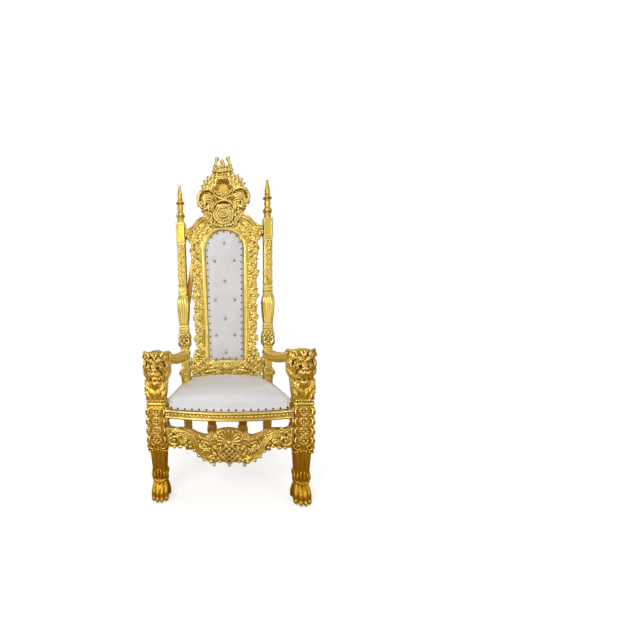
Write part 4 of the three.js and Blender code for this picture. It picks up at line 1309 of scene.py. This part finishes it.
# %% Carving on the three open faces of the block
def on_faces(draw):
    """Draws on the block's front, and again on its outer and inner sides."""
    for turn in (0, 90, -90):
        draw(np.array(Matrix.Rotation(math.radians(turn), 3, "Z")))


def curl(count, spin, start, sweep, radius, shrink):
    """A flat spiral that winds inward, as the share of its length and the steps aside and up."""
    for k in range(count):
        t = k / (count - 1)
        a = spin * (start + t * sweep)
        reach = radius * (1 - shrink * t)
        yield t, reach * math.sin(a), reach * math.cos(a)


def block_carving(spin):
    """Four roses between scrolls, the skirt of curls, and leaves that rise from the ankle."""
    def at(x, forward, z, r=None):
        p = spin @ np.array((x, -forward, 0))
        place = (X0 + p[0], Y0 + p[1], z)
        return place if r is None else (*place, r)

    out = tuple(spin @ np.array((0, -1, 0)))
    spots = (463, 415, 367, 322)
    for k, z in enumerate(spots):
        size = 19.5 if k < 3 else 21
        for radius, thick in ((size, 3.2), (size * 0.62, 2.8)):
            rows = [at(radius * math.sin(a), 46.5, z + radius * math.cos(a),
                       thick) for a in np.linspace(0, 2 * math.pi, 13)]
            work.stroke(rows, out=out)
        work.ball(at(0, 48, z), 6.5, sides=10)
        for j in range(8):
            a = 2 * math.pi * j / 8
            work.ball(at(size * 0.8 * math.sin(a), 47, z + size * 0.8 * math.cos(a)), 3.6, sides=8)
        for s in (1, -1):
            rows = [at(s * 22, 46, z - 24, 4), at(s * 37, 48, z - 10, 7), at(s * 38, 47, z + 8, 6),
                    at(s * 30, 46, z + 20, 3)]
            work.stroke(rows, out=out)
            work.ball(at(s * 36, 47, z - 16), 5.5, sides=8)
    # Skirt of curls with a beaded hem
    for s in (1, -1):
        rows = [at(s * 26 + dx, 46 + 3 * t, 291 + dz, 6 - 2.5 * t) for t, dx,
                dz in curl(11, s, 0.4, 7.5, 19, 0.75)]
        work.stroke(rows, out=out, step=3)
    for k in range(7):
        x = -39 + 13 * k
        sag = 6 * math.cos(k * math.pi / 3)
        work.ball(at(x, 46, 268 - sag * 0.6), (5.5, 5.5, 6), sides=8)
    # Leaves that rise from the ankle
    for x, top in ((-24, 150), (-8, 160), (8, 160), (24, 150)):
        work.stroke([at(x, 32, 116, 7), at(x * 1.02, 36, 132, 7.5), at(x * 0.95, 36, top, 3.5)],
                    flat=0.75, out=out)
    cuff = [at(-30, 29, 109, 6), at(-16, 33, 102, 6.5), at(0, 34, 99, 7), at(16, 33, 102, 6.5),
            at(30, 29, 109, 6)]
    work.stroke(cuff, out=out)


on_faces(block_carving)
work.tell("block carving")

# %% Clawed foot: a pad with four knuckled toes in front, each with a blunt claw
foot = [leg_ring(0, 36, 36, 40, 3), leg_ring(14, 39, 37, 42, 3), leg_ring(40, 37, 33, 40, 3),
        leg_ring(70, 31, 30, 35, 3),
        leg_ring(92, 29, 29, 31, 3)]
work.loft(foot)
work.ball((X0, Y0 - 24, 56), (37, 27, 32), sides=20)
work.ball((X0, Y0 - 30, 24), (40, 28, 24), sides=20)
for x in (-30, -10.5, 10.5, 30):
    near = 1.0 if abs(x) < 20 else 0.76
    toe = [(X0 + x * 0.8, Y0 - 20, 90, 9), (X0 + x * 0.92, Y0 - 36 * near, 68, 12),
           (X0 + x, Y0 - 47 * near, 46, 13), (X0 + x * 1.04, Y0 - 50 * near, 26, 12),
           (X0 + x * 1.05, Y0 - 52 * near, 13, 12)]
    work.stroke(toe, sides=10, step=3)
    work.ball((X0 + x, Y0 - 46 * near, 50), (13, 13, 11))
    work.ball((X0 + x * 1.05, Y0 - 56 * near, 15), (11.5, 12, 13))
    work.ball((X0 + x * 1.05, Y0 - 66 * near, 9), (4.5, 5, 7))
for s in (1, -1):
    work.stroke([(X0 + s * 31, Y0 + 8, 84, 8), (X0 + s * 38, Y0 + 14, 44, 10),
                 (X0 + s * 39, Y0 + 18, 10, 9)], out=(s, 0, 0))

leg_right = work.fused("lion_leg_right", None, voxel=2.1, keep=0.48)
stand_on_floor(leg_right)
dress_both(leg_right, leg_gold, "front_leg")

# %% [markdown]
# ## The back posts and finials
#
# A post is worked from one square stick: plain below the seat, then turned and carved in
# turn as balusters, a leaf capital, a reeded vase and a long square column with a vine on
# its face. The finials are turned spires.

# %% Posts
POST_DEPTH = 28
FOOT_X, FOOT_Y = 256, 334 + SHIFT_Y / MM
back_place = np.array(TO_BACK)


def raked(x, depth, up):
    """A point of the back, in mm in the throne's own axes."""
    p = back_place @ np.array((x * MM, depth * MM, up * MM, 1))
    return tuple(p[:3] / MM)


work = Carving()
rings = []
for z, shift, half in ((0, 0, 24), (20, -1, 24), (150, -6, 25), (300, -15, 28), (484, -20, 28)):
    rings.append(superellipse((FOOT_X + z / 130, FOOT_Y + shift, z), half, half, half, 9, 48))
profile = [(500, 31, 0), (538, 31, 0), (541, 33, 0), (546, 33, 0), (551, 28, 0), (556, 27, 0),
           (562, 24, 0), (566, 24, 2.2), (612, 26, 2.2), (616, 26, 0), (619, 29, 0), (626, 30, 0),
           (630, 27, 0), (634, 29, 0), (664, 29, 0), (668, 27, 0), (672, 25, 0), (678, 24, 0),
           (684, 28, 0), (690, 29, 0), (782, 31, 0), (786, 34, 0), (790, 33, 0), (794, 28, 0),
           (800, 31, 0), (807, 32, 0), (813, 28, 0), (819, 31, 0), (826, 30, 0), (831, 27, 0),
           (838, 30, 1.8), (870, 34, 2.4), (900, 37, 2.8), (935, 40, 3), (963, 41, 3), (985, 39, 2.6),
           (1004, 34, 2), (1016, 28, 1.2), (1022, 26, 0), (1030, 29, 0), (1037, 30, 0), (1044, 26, 0),
           (1052, 29, 0), (1060, 29, 0), (1064, 25, 0), (1070, 25, 0), (1334, 25, 0), (1338, 28, 0),
           (1344, 29, 0), (1349, 26, 0), (1354, 29, 0), (1466, 29, 0), (1470, 31, 0), (1475, 31, 0),
           (1478, 29, 0)]
for z, half, depth in profile:
    up = along(z)
    power = 4 if 830 < z < 1020 else 9
    ring = []
    for x, y, level in superellipse((post_x(up), POST_DEPTH, up), half, half, half, power, 96):
        if depth:
            dx, dy = x - post_x(up), y - POST_DEPTH
            grow = 1 + depth * (abs(math.cos(8 * math.atan2(dx, -dy))) ** 0.6 - 1) / math.hypot(dx, dy)
            x, y = post_x(up) + dx * grow, POST_DEPTH + dy * grow
        ring.append(raked(x, y, level))
    rings.append(ring)
# One ring count for both stretches
rings = [ring if len(ring) == 96 else [p for p in ring for _ in (0, 1)] for ring in rings]
work.loft(rings)

work.tell("turned post")


# %% Carving on the open faces of the post
def post_faces(draw, turns=(0, 90, -90)):
    """Draws on the post's front and on its two sides."""
    for turn in turns:
        a = math.radians(turn)

        def at(x, forward, z, r=None):
            up = along(z)
            across = x * math.cos(a) + forward * math.sin(a)
            depth = x * math.sin(a) - forward * math.cos(a)
            place = raked(post_x(up) + across, POST_DEPTH + depth, up)
            return place if r is None else (*place, r)

        out = np.array(TO_BACK.to_3x3()) @ np.array((math.sin(a), -math.cos(a), 0))
        draw(at, tuple(out))


def column_vine(at, out):
    """A wavy stem with a leaf and a bud in every bend."""
    stem = [at(7 * math.sin(z / 13), 25, z, 3.6) for z in range(1076, 1330, 10)]
    work.stroke(stem, out=out, sides=8)
    for k, z in enumerate(range(1092, 1326, 29)):
        s = 1 if k % 2 else -1
        work.stroke([at(0, 24, z - 10, 4), at(s * 9, 25, z, 7), at(s * 15, 23.5, z + 15, 4)], flat=0.7,
                    out=out)
        work.stroke([at(-s * 4, 24, z - 4, 4), at(-s * 11, 24.5, z + 8, 6.5),
                     at(-s * 15, 23.5, z - 6, 4)], flat=0.7, out=out)
        work.ball(at(s * 12, 24.5, z - 9), (5, 4, 5), sides=8)
    for z in (1074, 1330):
        work.stroke([at(-20, 24.5, z, 3), at(0, 25, z, 3), at(20, 24.5, z, 3)], out=out)


def block_frame(at, out):
    """A thin raised border round the top block."""
    for s in (1, -1):
        work.stroke([at(s * 21, 28, 1364, 2.6), at(s * 21, 28.5, 1410, 2.6), at(s * 21, 28, 1458, 2.6)],
                    out=out)
    for z in (1362, 1460):
        work.stroke([at(-21, 28, z, 2.6), at(0, 28.5, z, 2.6), at(21, 28, z, 2.6)], out=out)


def capital_leaves(at, out):
    """Two curled leaves that meet over a bud, under a row of small ones."""
    for s in (1, -1):
        work.stroke([at(s * 6, 29, 696, 5), at(s * 20, 33, 708, 8), at(s * 27, 33, 728, 7),
                     at(s * 20, 34, 744, 6),
                     at(s * 11, 34, 736, 4)], out=out, step=3)
        work.stroke([at(s * 3, 30, 744, 5), at(s * 14, 33, 758, 7), at(s * 26, 31, 774, 5)], out=out)
        work.stroke([at(s * 25, 29, 740, 5), at(s * 29, 31, 756, 6), at(s * 27, 30, 770, 4)], out=out)
        work.ball(at(s * 13, 32, 716), (8, 6, 8), sides=10)
    work.ball(at(0, 34, 730), (8, 8, 14), sides=10)
    work.ball(at(0, 33, 768), (9, 6, 11), sides=10)
    work.ball(at(0, 32, 704), (8, 6, 9), sides=10)
    for x in (-16, 0, 16):
        work.stroke([at(x, 28, 642, 3.5), at(x * 1.1, 30, 650, 4.5), at(x, 28, 660, 3)], out=out)


def foot_block(at, out):
    """A small spray on the front of the lowest block."""
    work.stroke([at(-18, 30, 510, 4), at(0, 32, 520, 6), at(18, 30, 510, 4)], out=out)
    for s in (1, -1):
        work.stroke([at(s * 6, 31, 512, 4), at(s * 18, 32, 524, 5), at(s * 24, 30, 536, 3)], out=out)


post_faces(column_vine)
post_faces(block_frame)
post_faces(capital_leaves)
post_faces(foot_block, (0,))

work.tell("carved faces")


# %% Scrolls on the sides of the post
def side_scroll(x, depth, z, radius, width, spin):
    """A round scroll on the side of the post, its axis running back."""
    centre = raked(x, depth, along(z)) if z > 500 else (x, depth, z)
    for y in (-width / 2, width / 2):
        work.ball((centre[0], centre[1] + y, centre[2]), (radius * 0.45, 7, radius * 0.45), sides=10)
    for y in np.linspace(-width / 2, width / 2, 6):
        line = [(centre[0] + dx, centre[1] + y, centre[2] + dz, 4.2)
                for _, dx, dz in curl(17, spin, 0.2, 9, radius, 0.8)]
        work.stroke(line, step=3, sides=6)


side_scroll(286, POST_DEPTH, 524, 16, 36, 1)
side_scroll(236, POST_DEPTH, 750, 14, 34, -1)
side_scroll(272, FOOT_Y - 9, 215, 16, 34, 1)
post_right = work.fused("carved_post_right", None, voxel=2.0, keep=0.24)
stand_on_floor(post_right)
dress_both(post_right, gold, "back_post")

# %% [markdown]
# ### Finials
#
# A finial is turned on a lathe from one stick: a vase, a disc, two rings and a ribbed cone.
# Its profile is a list of radii and heights, spun round the post's own leaning axis.

# %% Finials
spire = [(25, 1478), (25, 1484), (22, 1487), (22, 1500), (20, 1505), (20, 1509), (25, 1514), (28, 1521),
         (29, 1526), (28, 1531), (24, 1536), (19, 1540), (17, 1545), (17, 1554), (19, 1558), (21, 1566),
         (21, 1573), (18, 1580), (15, 1585), (19, 1590), (27, 1596), (29, 1599), (27, 1602), (19, 1607),
         (14, 1612), (14, 1618), (18, 1622), (18, 1627), (15, 1631), (15, 1636), (17, 1641), (16, 1648),
         (12, 1668), (8, 1688), (6, 1694), (8, 1698), (7, 1703), (3, 1706)]
work = Carving()
rings = []
sides = 40
for radius, z in spire:
    up = along(1478 + (z - 1478) * 1.065) + 0.3
    ribbed = 0.9 if 1540 < z < 1582 or 1645 < z < 1690 else 0
    ring = []
    for k in range(sides):
        a = 2 * math.pi * k / sides
        r = radius - ribbed * (1 - abs(math.cos(5 * a)))
        ring.append((post_x(up) + r * math.sin(a), POST_DEPTH - r * math.cos(a), up))
    rings.append(ring)
work.loft(rings)
finial_right = work.object("turned_finial_right", TO_BACK)
worked(finial_right, "SUBSURF", levels=1)
shade(finial_right)
dress_both(finial_right, leg_gold, "finial")

# %% [markdown]
# ## Arms, rails and rear legs
#
# Mouldings are one profile carried along a line. The arm's rail bows outward and climbs to
# the lion's head, and the front rail bows forward under a row of beads.

# %% Arms
def sweep(name, line, section):
    """Carries a closed section of (aside, up) along a line of x, y, z, width and height."""
    rows = smooth_path(line, 6.0)
    tangent = np.gradient(rows[:, :3], axis=0)
    tangent[:, 2] = 0
    tangent = unit(tangent)
    tool = Carving()
    rings = []
    for row, t in zip(rows, tangent):
        aside = np.array((t[1], -t[0], 0))
        rings.append([row[:3] + aside * a * row[3] + np.array((0, 0, u * row[4])) for a,
                      u in section][::-1])
    tool.loft(rings)
    return tool.object(name)


arm_section = []
for k in range(48):
    a = 2 * math.pi * k / 48
    round_part = (abs(math.cos(a)) ** 2.6 + abs(math.sin(a)) ** 2.6) ** (-1 / 2.6)
    high_groove = math.exp(-((math.sin(a) - 0.10) / 0.13) ** 2)
    low_groove = 0.6 * math.exp(-((math.sin(a) + 0.62) / 0.08) ** 2)
    groove = 0.10 * (high_groove + low_groove)
    arm_section.append(((round_part - groove) * math.cos(a), (round_part - groove) * math.sin(a)))
dy = SHIFT_Y / MM
arm_line = [(264, 300 + dy, 640, 26, 31), (268, 250 + dy, 640, 27, 32), (296, 130 + dy, 648, 27, 30),
            (326, 0 + dy, 676, 27, 26), (340, -100 + dy, 703, 27, 23), (343, -160 + dy, 710, 27, 21)]
arm_right = sweep("moulded_arm_right", arm_line, arm_section)
shade(arm_right)
dress_both(arm_right, gold, "arm")

# %% Front rail
CRISP = 35
RAIL_END_Y, RAIL_BOW, SEAT_HALF = -279 + dy, 42, 290


def bowed(x):
    """The front rail's face at x: bowed forward, and straight past the seat."""
    return RAIL_END_Y - RAIL_BOW * (1 - (min(abs(x), SEAT_HALF) / SEAT_HALF) ** 2)


def rounded(points, each=3):
    """The same closed profile with its corners eased."""
    for _ in range(each):
        points = [q for a, b in zip(points, points[1:] + points[:1])
                  for q in ((0.82 * a[0] + 0.18 * b[0], 0.82 * a[1] + 0.18 * b[1]),
                            (0.18 * a[0] + 0.82 * b[0], 0.18 * a[1] + 0.82 * b[1]))]
    return points


work = Carving()
profile = [(44, 433), (44, 430), (41, 430), (12, 430), (5, 431), (0, 435), (-0.5, 439), (2, 443),
           (5, 445), (7.5, 446), (7.5, 460), (5, 461), (1.5, 463), (0.5, 467), (2, 471), (5, 474),
           (8, 474), (41, 474), (44, 474), (44, 471)]
profile = rounded(profile, 2)
rings = []
for x in np.linspace(-RAIL_END, RAIL_END, 61):
    rings.append([(x, bowed(x) + depth, z) for depth, z in reversed(profile)])
work.loft(rings)
for k, x in enumerate(np.arange(-288, 289, 18)):
    slope = math.atan2(bowed(x + 1) - bowed(x - 1), 2)
    wide, tall, deep = 6.6, 5.6, 5.5
    rings = []
    for out_by, grow in ((-2, 1.0), (2, 1.0), (4.4, 0.86), (5.6, 0.5)):
        ring = []
        for j in range(12):
            a = 2 * math.pi * j / 12
            r = (abs(math.cos(a)) ** 4 + abs(math.sin(a)) ** 4) ** -0.25 * grow
            ring.append((x + r * wide * math.cos(a) * math.cos(slope),
                         bowed(x) + 8.5 - out_by + r * wide * math.cos(a) * math.sin(slope),
                         453 + r * tall * math.sin(a)))
        rings.append(ring)
    work.loft(rings)
front_rail = work.object("moulded_front_rail")
shade(front_rail, CRISP)
dress(front_rail, gold, "gilded_wood", "seat_rail_front")

# %% Side rails
side_low, side_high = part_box("seat_rail_right")
side_low, side_high = np.array(side_low) / MM, np.array(side_high) / MM
work = Carving()
start = np.array((side_high[0] - 32, side_low[1] + 0.5))
stop = np.array((side_low[0] + 32, side_high[1] - 0.5))
inner = [(-28, 400), (-31, 400), (-31, 403), (-31, 471), (-31, 474), (-28, 474)]
outer = [(25, 474), (28, 474), (31, 471), (31.5, 466), (28, 462), (27, 459), (27, 456), (27, 415),
         (27, 412), (31, 408), (31.5, 403), (28, 400), (25, 400)]
profile = rounded(inner + outer, 2)
rings = []
for t in np.linspace(0, 1, 5):
    x, y = start + (stop - start) * t
    rings.append([(x + side, y, z) for side, z in profile])
work.loft(rings)
side_right = work.object("moulded_side_rail_right")
shade(side_right, CRISP)
dress_both(side_right, gold, "seat_rail")


# %% Rear rail
def eased_box(name, low, high, ease, material, *nodes):
    """A plain board from its box, with eased edges."""
    bpy.ops.mesh.primitive_cube_add(size=1)
    made = bpy.context.object
    made.name = name
    size = np.array(high) - np.array(low)
    middle = (np.array(high) + np.array(low)) / 2
    made.data.transform(Matrix.Translation(middle) @ Matrix.Diagonal((*size, 1)))
    worked(made, "BEVEL", width=ease, segments=3)
    shade(made, CRISP)
    dress(made, material, "gilded_wood", *nodes)


eased_box("rear_rail", rear_low, rear_high, 4 * MM, gold, "seat_rail_rear")

# %% Inner rear legs: broad at the rail, waisted, with a curl above a plain foot
work = Carving()
legs_low, legs_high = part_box("inner_rear_leg_right")
cx, cy = (legs_low[0] + legs_high[0]) / 2 / MM, (legs_low[1] + legs_high[1]) / 2 / MM
rings = []
for z, half in ((0, 22), (110, 23.5), (122, 26), (134, 31), (145, 32), (156, 31), (166, 26), (176, 25),
                (205, 28), (260, 30),
                (399.7, 31.5)):
    rings.append(superellipse((cx, cy, z), half, half, half, 9, 48))
work.loft(rings)
for s in (1, -1):
    rows = [(cx + s * 11 + dx, cy - 29 - 4 * t, 147 + dz, 4.5 - 1.5 * t)
            for t, dx, dz in curl(15, s, 0.3, 8.5, 15, 0.78)]
    work.stroke(rows, step=3)
for x in (-16, 0, 16):
    work.stroke([(cx + x, cy - 29, 384, 4), (cx + x, cy - 30, 300, 3.5), (cx + x * 0.8, cy - 26, 210, 3)])
inner_right = work.fused("inner_leg_right", None, voxel=2.2, keep=0.4)
stand_on_floor(inner_right)
# The darker gilding is painted shade for legs that stand under the seat
dress_both(inner_right, painted_shade_gold, "inner_rear_leg")

# %% The flat brace behind the left side of the back
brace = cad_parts["back_brace"]
brace_copy = brace.copy()
brace_copy.data = brace.data.copy()
brace_copy.parent = None
brace_copy.name = "eased_brace"
bpy.context.scene.collection.objects.link(brace_copy)
active(brace_copy)
bpy.ops.object.mode_set(mode="EDIT")
bpy.ops.mesh.select_all(action="SELECT")
bpy.ops.mesh.remove_doubles(threshold=0.0001)
bpy.ops.mesh.tris_convert_to_quads()
bpy.ops.mesh.bevel(offset=0.003, segments=3)
bpy.ops.object.mode_set(mode="OBJECT")
shade(brace_copy, 40)
# The darker gilding is painted shade for a brace that stands behind the back
dress(brace_copy, painted_shade_gold, "gilded_wood", "back_brace")

# %% [markdown]
# ## Upholstery
#
# Both pads start as a closed form a little smaller than the finished one. A cloth
# simulation blows them up against their fixed edges, so the cover bulges and tightens as
# it does over stuffing. The buttons pull the back into dimples with faint pleats between.

# %% Tools for stuffed covers
AIR_PRESSURE, BLOW_STEPS = 4.0, 20


def points_of(obj):
    """The piece's points in metres, one a row."""
    return np.array([v.co[:] for v in obj.data.vertices])


def inflate(obj, pinned, voxel, cap):
    """Voxel remesh, then air pressure against the pinned points, moved no more than cap."""
    active(obj)
    obj.data.remesh_voxel_size = voxel
    bpy.ops.object.voxel_remesh()
    start_points = points_of(obj)
    group = obj.vertex_groups.new(name="pinned")
    group.add([i for i, p in enumerate(start_points) if pinned(p)], 1.0, "REPLACE")
    cloth = obj.modifiers.new("air", "CLOTH")
    cloth.settings.use_pressure = True
    cloth.settings.uniform_pressure_force = AIR_PRESSURE
    cloth.settings.vertex_group_mass = "pinned"
    cloth.settings.effector_weights.gravity = 0
    cloth.settings.quality = 5
    cloth.settings.tension_stiffness = 25
    cloth.settings.bending_stiffness = 2
    for step in range(1, BLOW_STEPS + 1):
        bpy.context.scene.frame_set(step)
    graph = bpy.context.evaluated_depsgraph_get()
    blown = points_of(obj.evaluated_get(graph))
    obj.modifiers.remove(cloth)
    bpy.context.scene.frame_set(1)
    moved = blown - start_points
    distance = np.linalg.norm(moved, axis=1, keepdims=True)
    moved *= np.minimum(1, cap / np.maximum(distance, 1e-9))
    print(obj.name, "rose by up to", round(float(distance.max()) / MM, 1), "mm, kept", cap / MM)
    obj.data.vertices.foreach_set("co", (start_points + moved).ravel())
    obj.data.update()


def finish_pad(obj, keep=1.0):
    """Rounds the cover off, and thins it to keep of its faces."""
    worked(obj, "SUBSURF", levels=1)
    if keep < 1:
        worked(obj, "DECIMATE", ratio=keep)
    shade(obj)


print("covers are blown up over", BLOW_STEPS, "steps at a pressure of", AIR_PRESSURE)


# %% Seat: full to its sides over a steep front, and falling away to the rear
SEAT_REAR_HALF, SEAT_REAR = 226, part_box("seat_cushion")[1][1] / MM


def seat_ring(z, side, set_back, rear, rounding):
    """One level of the seat: drawn in at the sides, set back at the front and ended at rear."""
    rear += SHIFT_Y / MM
    front = []
    for x in np.linspace(-SEAT_HALF, SEAT_HALF, 40):
        corner = 10 * max(0, abs(x) - 262) ** 2 / 28 ** 2
        front.append((x * side, bowed(x) + 5 + corner + set_back, z))
    start = front[-1][1]
    flank = []
    for t in np.linspace(0, 1, 26)[1:]:
        y = start + (rear - start) * t
        half = SEAT_HALF + (SEAT_REAR_HALF - SEAT_HALF) * (y - RAIL_END_Y) / (SEAT_REAR - RAIL_END_Y)
        flank.append((half * side * (1 - rounding * t ** 4), y, z))
    end = flank[-1][0]
    back = [(x, rear, z) for x in np.linspace(end, -end, 24)[1:-1]]
    return front + flank + back + [(-x, y, z) for x, y, z in reversed(flank)]


work = Carving()
levels = [(474.8, 0.975, 6, 253, 0), (482, 0.985, 3, 256, 0), (500, 0.99, 0, 254, 0.01),
          (519, 0.99, 1, 232, 0.05), (538, 0.982, 5, 150, 0.12), (552, 0.965, 14, 78, 0.18),
          (562, 0.935, 30, 24, 0.27), (568, 0.87, 56, -16, 0.3), (571, 0.72, 90, -62, 0.3),
          (572.5, 0.4, 125, -106, 0.3)]
work.loft([seat_ring(*level) for level in levels])
seat = work.object("seat_pad")
inflate(seat, lambda p: p[2] < 0.482, 6.5 * MM, 8 * MM)
finish_pad(seat, keep=0.5)
for vertex in seat.data.vertices:
    x, y, z = np.array(vertex.co[:]) / MM
    side = max(0, (abs(x) - 50) / 180)
    share = min(1, max(0, (y + 260) / 420))
    fall = 32 * side ** 1.7 * (0.35 + 0.65 * share) * min(1, max(0, (z - 492) / 70))
    vertex.co.z = max((z - fall) * MM, 0.4745)
dress(seat, white_leather, "white_leather", "seat_cushion")

# %% Back pad
work = Carving()
layers = [(30, -0.8), (2, -0.8), (-1, -1.2), (-5, -5), (-8, -12), (-10, -24)]
work.loft([[(x, depth, z) for x, z in panel_outline(spread, 24)] for depth, spread in layers])
pad = work.object("back_pad")
inflate(pad, lambda p: p[1] > 0.0, 5 * MM, 6 * MM)
finish_pad(pad, keep=0.5)
print("back pad", len(pad.data.vertices), "points")

# %% Buttons pull the pad in, and faint pleats run between neighbours
button_spots = []
for name in sorted(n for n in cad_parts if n.startswith("button_")):
    low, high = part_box(name)
    middle = (np.array(low) + np.array(high)) / 2
    local = TO_BACK.inverted() @ Vector(middle)
    button_spots.append((name, local.x / MM, local.z / MM))
pleats = []
for i, (_, x0, z0) in enumerate(button_spots):
    for _, x1, z1 in button_spots[i + 1:]:
        if 80 < math.hypot(x1 - x0, z1 - z0) < 175 and abs(x1 - x0) > 20 and abs(z1 - z0) > 20:
            pleats.append(((x0, z0), (x1, z1)))
points = points_of(pad) / MM
front = points[:, 1] < 4
for _, x, z in button_spots:
    away = np.hypot(points[:, 0] - x, points[:, 2] - z)
    points[:, 1] += np.where(front, 7.0 * np.exp(-(away / 17) ** 2) + 2.0 * np.exp(-(away / 42) ** 2), 0)
for (x0, z0), (x1, z1) in pleats:
    span = np.array((x1 - x0, z1 - z0))
    length = np.hypot(*span)
    t = ((points[:, 0] - x0) * span[0] + (points[:, 2] - z0) * span[1]) / length ** 2
    aside = np.abs((points[:, 0] - x0) * span[1] - (points[:, 2] - z0) * span[0]) / length
    inside = np.clip(np.minimum(t, 1 - t) * 6, 0, 1) * (0.6 + 0.4 * np.abs(2 * t - 1))
    points[:, 1] += np.where(front, 2.3 * inside * np.exp(-(aside / 4) ** 2), 0)
pad.data.vertices.foreach_set("co", (points * MM).ravel())
pad.data.transform(TO_BACK)
pad.data.update()
dress(pad, white_leather, "white_leather", "back_cushion")

# %% The covered panel that closes the back
work = Carving()
lining = [(50.4, 15), (52, 16), (55, 15), (57.5, 8), (59, -8), (60, -30)]
work.loft([[(x, depth, z) for x, z in panel_outline(spread, 24)] for depth, spread in reversed(lining)])
lining_piece = work.object("back_lining_pad", TO_BACK)
finish_pad(lining_piece)
dress(lining_piece, white_leather, "white_leather", "back_lining")

# %% [markdown]
# ## Crystals and nails
#
# Ten cut crystals button the back, each held in a thin steel ring. Each is a small brilliant
# with a flat table, eight crown facets and a narrow foot, so flat faces are what it needs.
# Black domed nails hold both covers down, set out at an even step along the edge.

# %% Crystals
settings = Carving()
for name, x, z in button_spots:
    near = np.hypot(points[:, 0] - x, points[:, 2] - z) < 4
    surface = float(points[near & front, 1].min()) if (near & front).any() else -6
    gem = Carving()
    rings = []
    cut_levels = ((2.5, 3.0, 0), (0, 7.0, 0), (-1.4, 8.2, 0.5), (-2.6, 8.0, 0.5), (-5.8, 5.2, 0),
                  (-7.0, 3.8, 0.5))
    for depth, radius, twist in cut_levels:
        turns = [2 * math.pi * (k + twist) / 8 for k in range(8)]
        rings.append([(x + radius * math.cos(a), surface + depth, z + radius * math.sin(a)) for a in turns])
    gem.loft(rings)
    hoop = []
    for a in np.linspace(0, 2 * math.pi, 17):
        hoop.append((x + 9.4 * math.sin(a), surface - 0.9, z + 9.4 * math.cos(a), 1.1))
    settings.stroke(hoop, sides=6, step=3)
    stone = gem.object("crystal_" + name[-2:], TO_BACK)
    dress(stone, crystal, "crystal", name)


setting_rings = settings.object("crystal_settings", TO_BACK)
shade(setting_rings)
dress(setting_rings, setting_steel, "crystal")


# %% Nails
NAIL_RADIUS, NAIL_HIGH, SEAT_NAIL_Z = 4.6, 3.0, 484


def nail(tool, x, y, z):
    """A domed head with a thin flat rim, facing forward."""
    out = np.array((0.0, -1.0, 0.0))
    u = unit(np.cross(out, (0.0, 0.0, 1.0)))
    v = np.cross(out, u)
    rings = []
    for rise, reach in ((-1.2, 1.0), (0.4, 1.02), (0.7, 0.9), (1.6, 0.66), (2.2, 0.33)):
        foot = np.array((x, y, z)) + out * rise * NAIL_HIGH / 2.4
        rings.append([foot + (u * math.cos(a) + v * math.sin(a)) * NAIL_RADIUS * reach
                      for a in 2 * math.pi * np.arange(10) / 10])
    tool.loft(rings)


nails = Carving()
track = panel_outline(-11, 40)
lengths = [0]
for a, b in zip(track, track[1:] + track[:1]):
    lengths.append(lengths[-1] + math.hypot(b[0] - a[0], b[1] - a[1]))
count = int(round(lengths[-1] / 42))
for k in range(count):
    goal = (k + 0.5) / count * lengths[-1]
    i = next(j for j in range(len(track)) if lengths[j + 1] >= goal)
    t = (goal - lengths[i]) / (lengths[i + 1] - lengths[i])
    a, b = track[i], track[(i + 1) % len(track)]
    x, z = a[0] + (b[0] - a[0]) * t, a[1] + (b[1] - a[1]) * t
    near = np.hypot(points[:, 0] - x, points[:, 2] - z) < 5
    y = float(points[near & front, 1].min()) if (near & front).any() else -5
    nail(nails, x, y + 0.6, z)
back_nails = nails.object("back_nails", TO_BACK)
shade(back_nails)
dress(back_nails, nail_iron, "gilded_wood")

# %% Seat nails
nails = Carving()
seat_points = points_of(seat) / MM
for x in np.linspace(-272, 272, 17):
    beside = (np.abs(seat_points[:, 0] - x) < 5) & (np.abs(seat_points[:, 2] - SEAT_NAIL_Z) < 5)
    near = beside & (seat_points[:, 1] < 0)
    y = float(seat_points[near, 1].min())
    nail(nails, x, y + 0.5, SEAT_NAIL_Z)
seat_nails = nails.object("seat_nails")
shade(seat_nails)
dress(seat_nails, nail_iron, "gilded_wood")

# %% [markdown]
# ## Finish
#
# The size of the CAD model is printed.

# %% Finish
low, high = cad_bounds
print("cad box", [round(v, 4) for v in (*low, *high)])
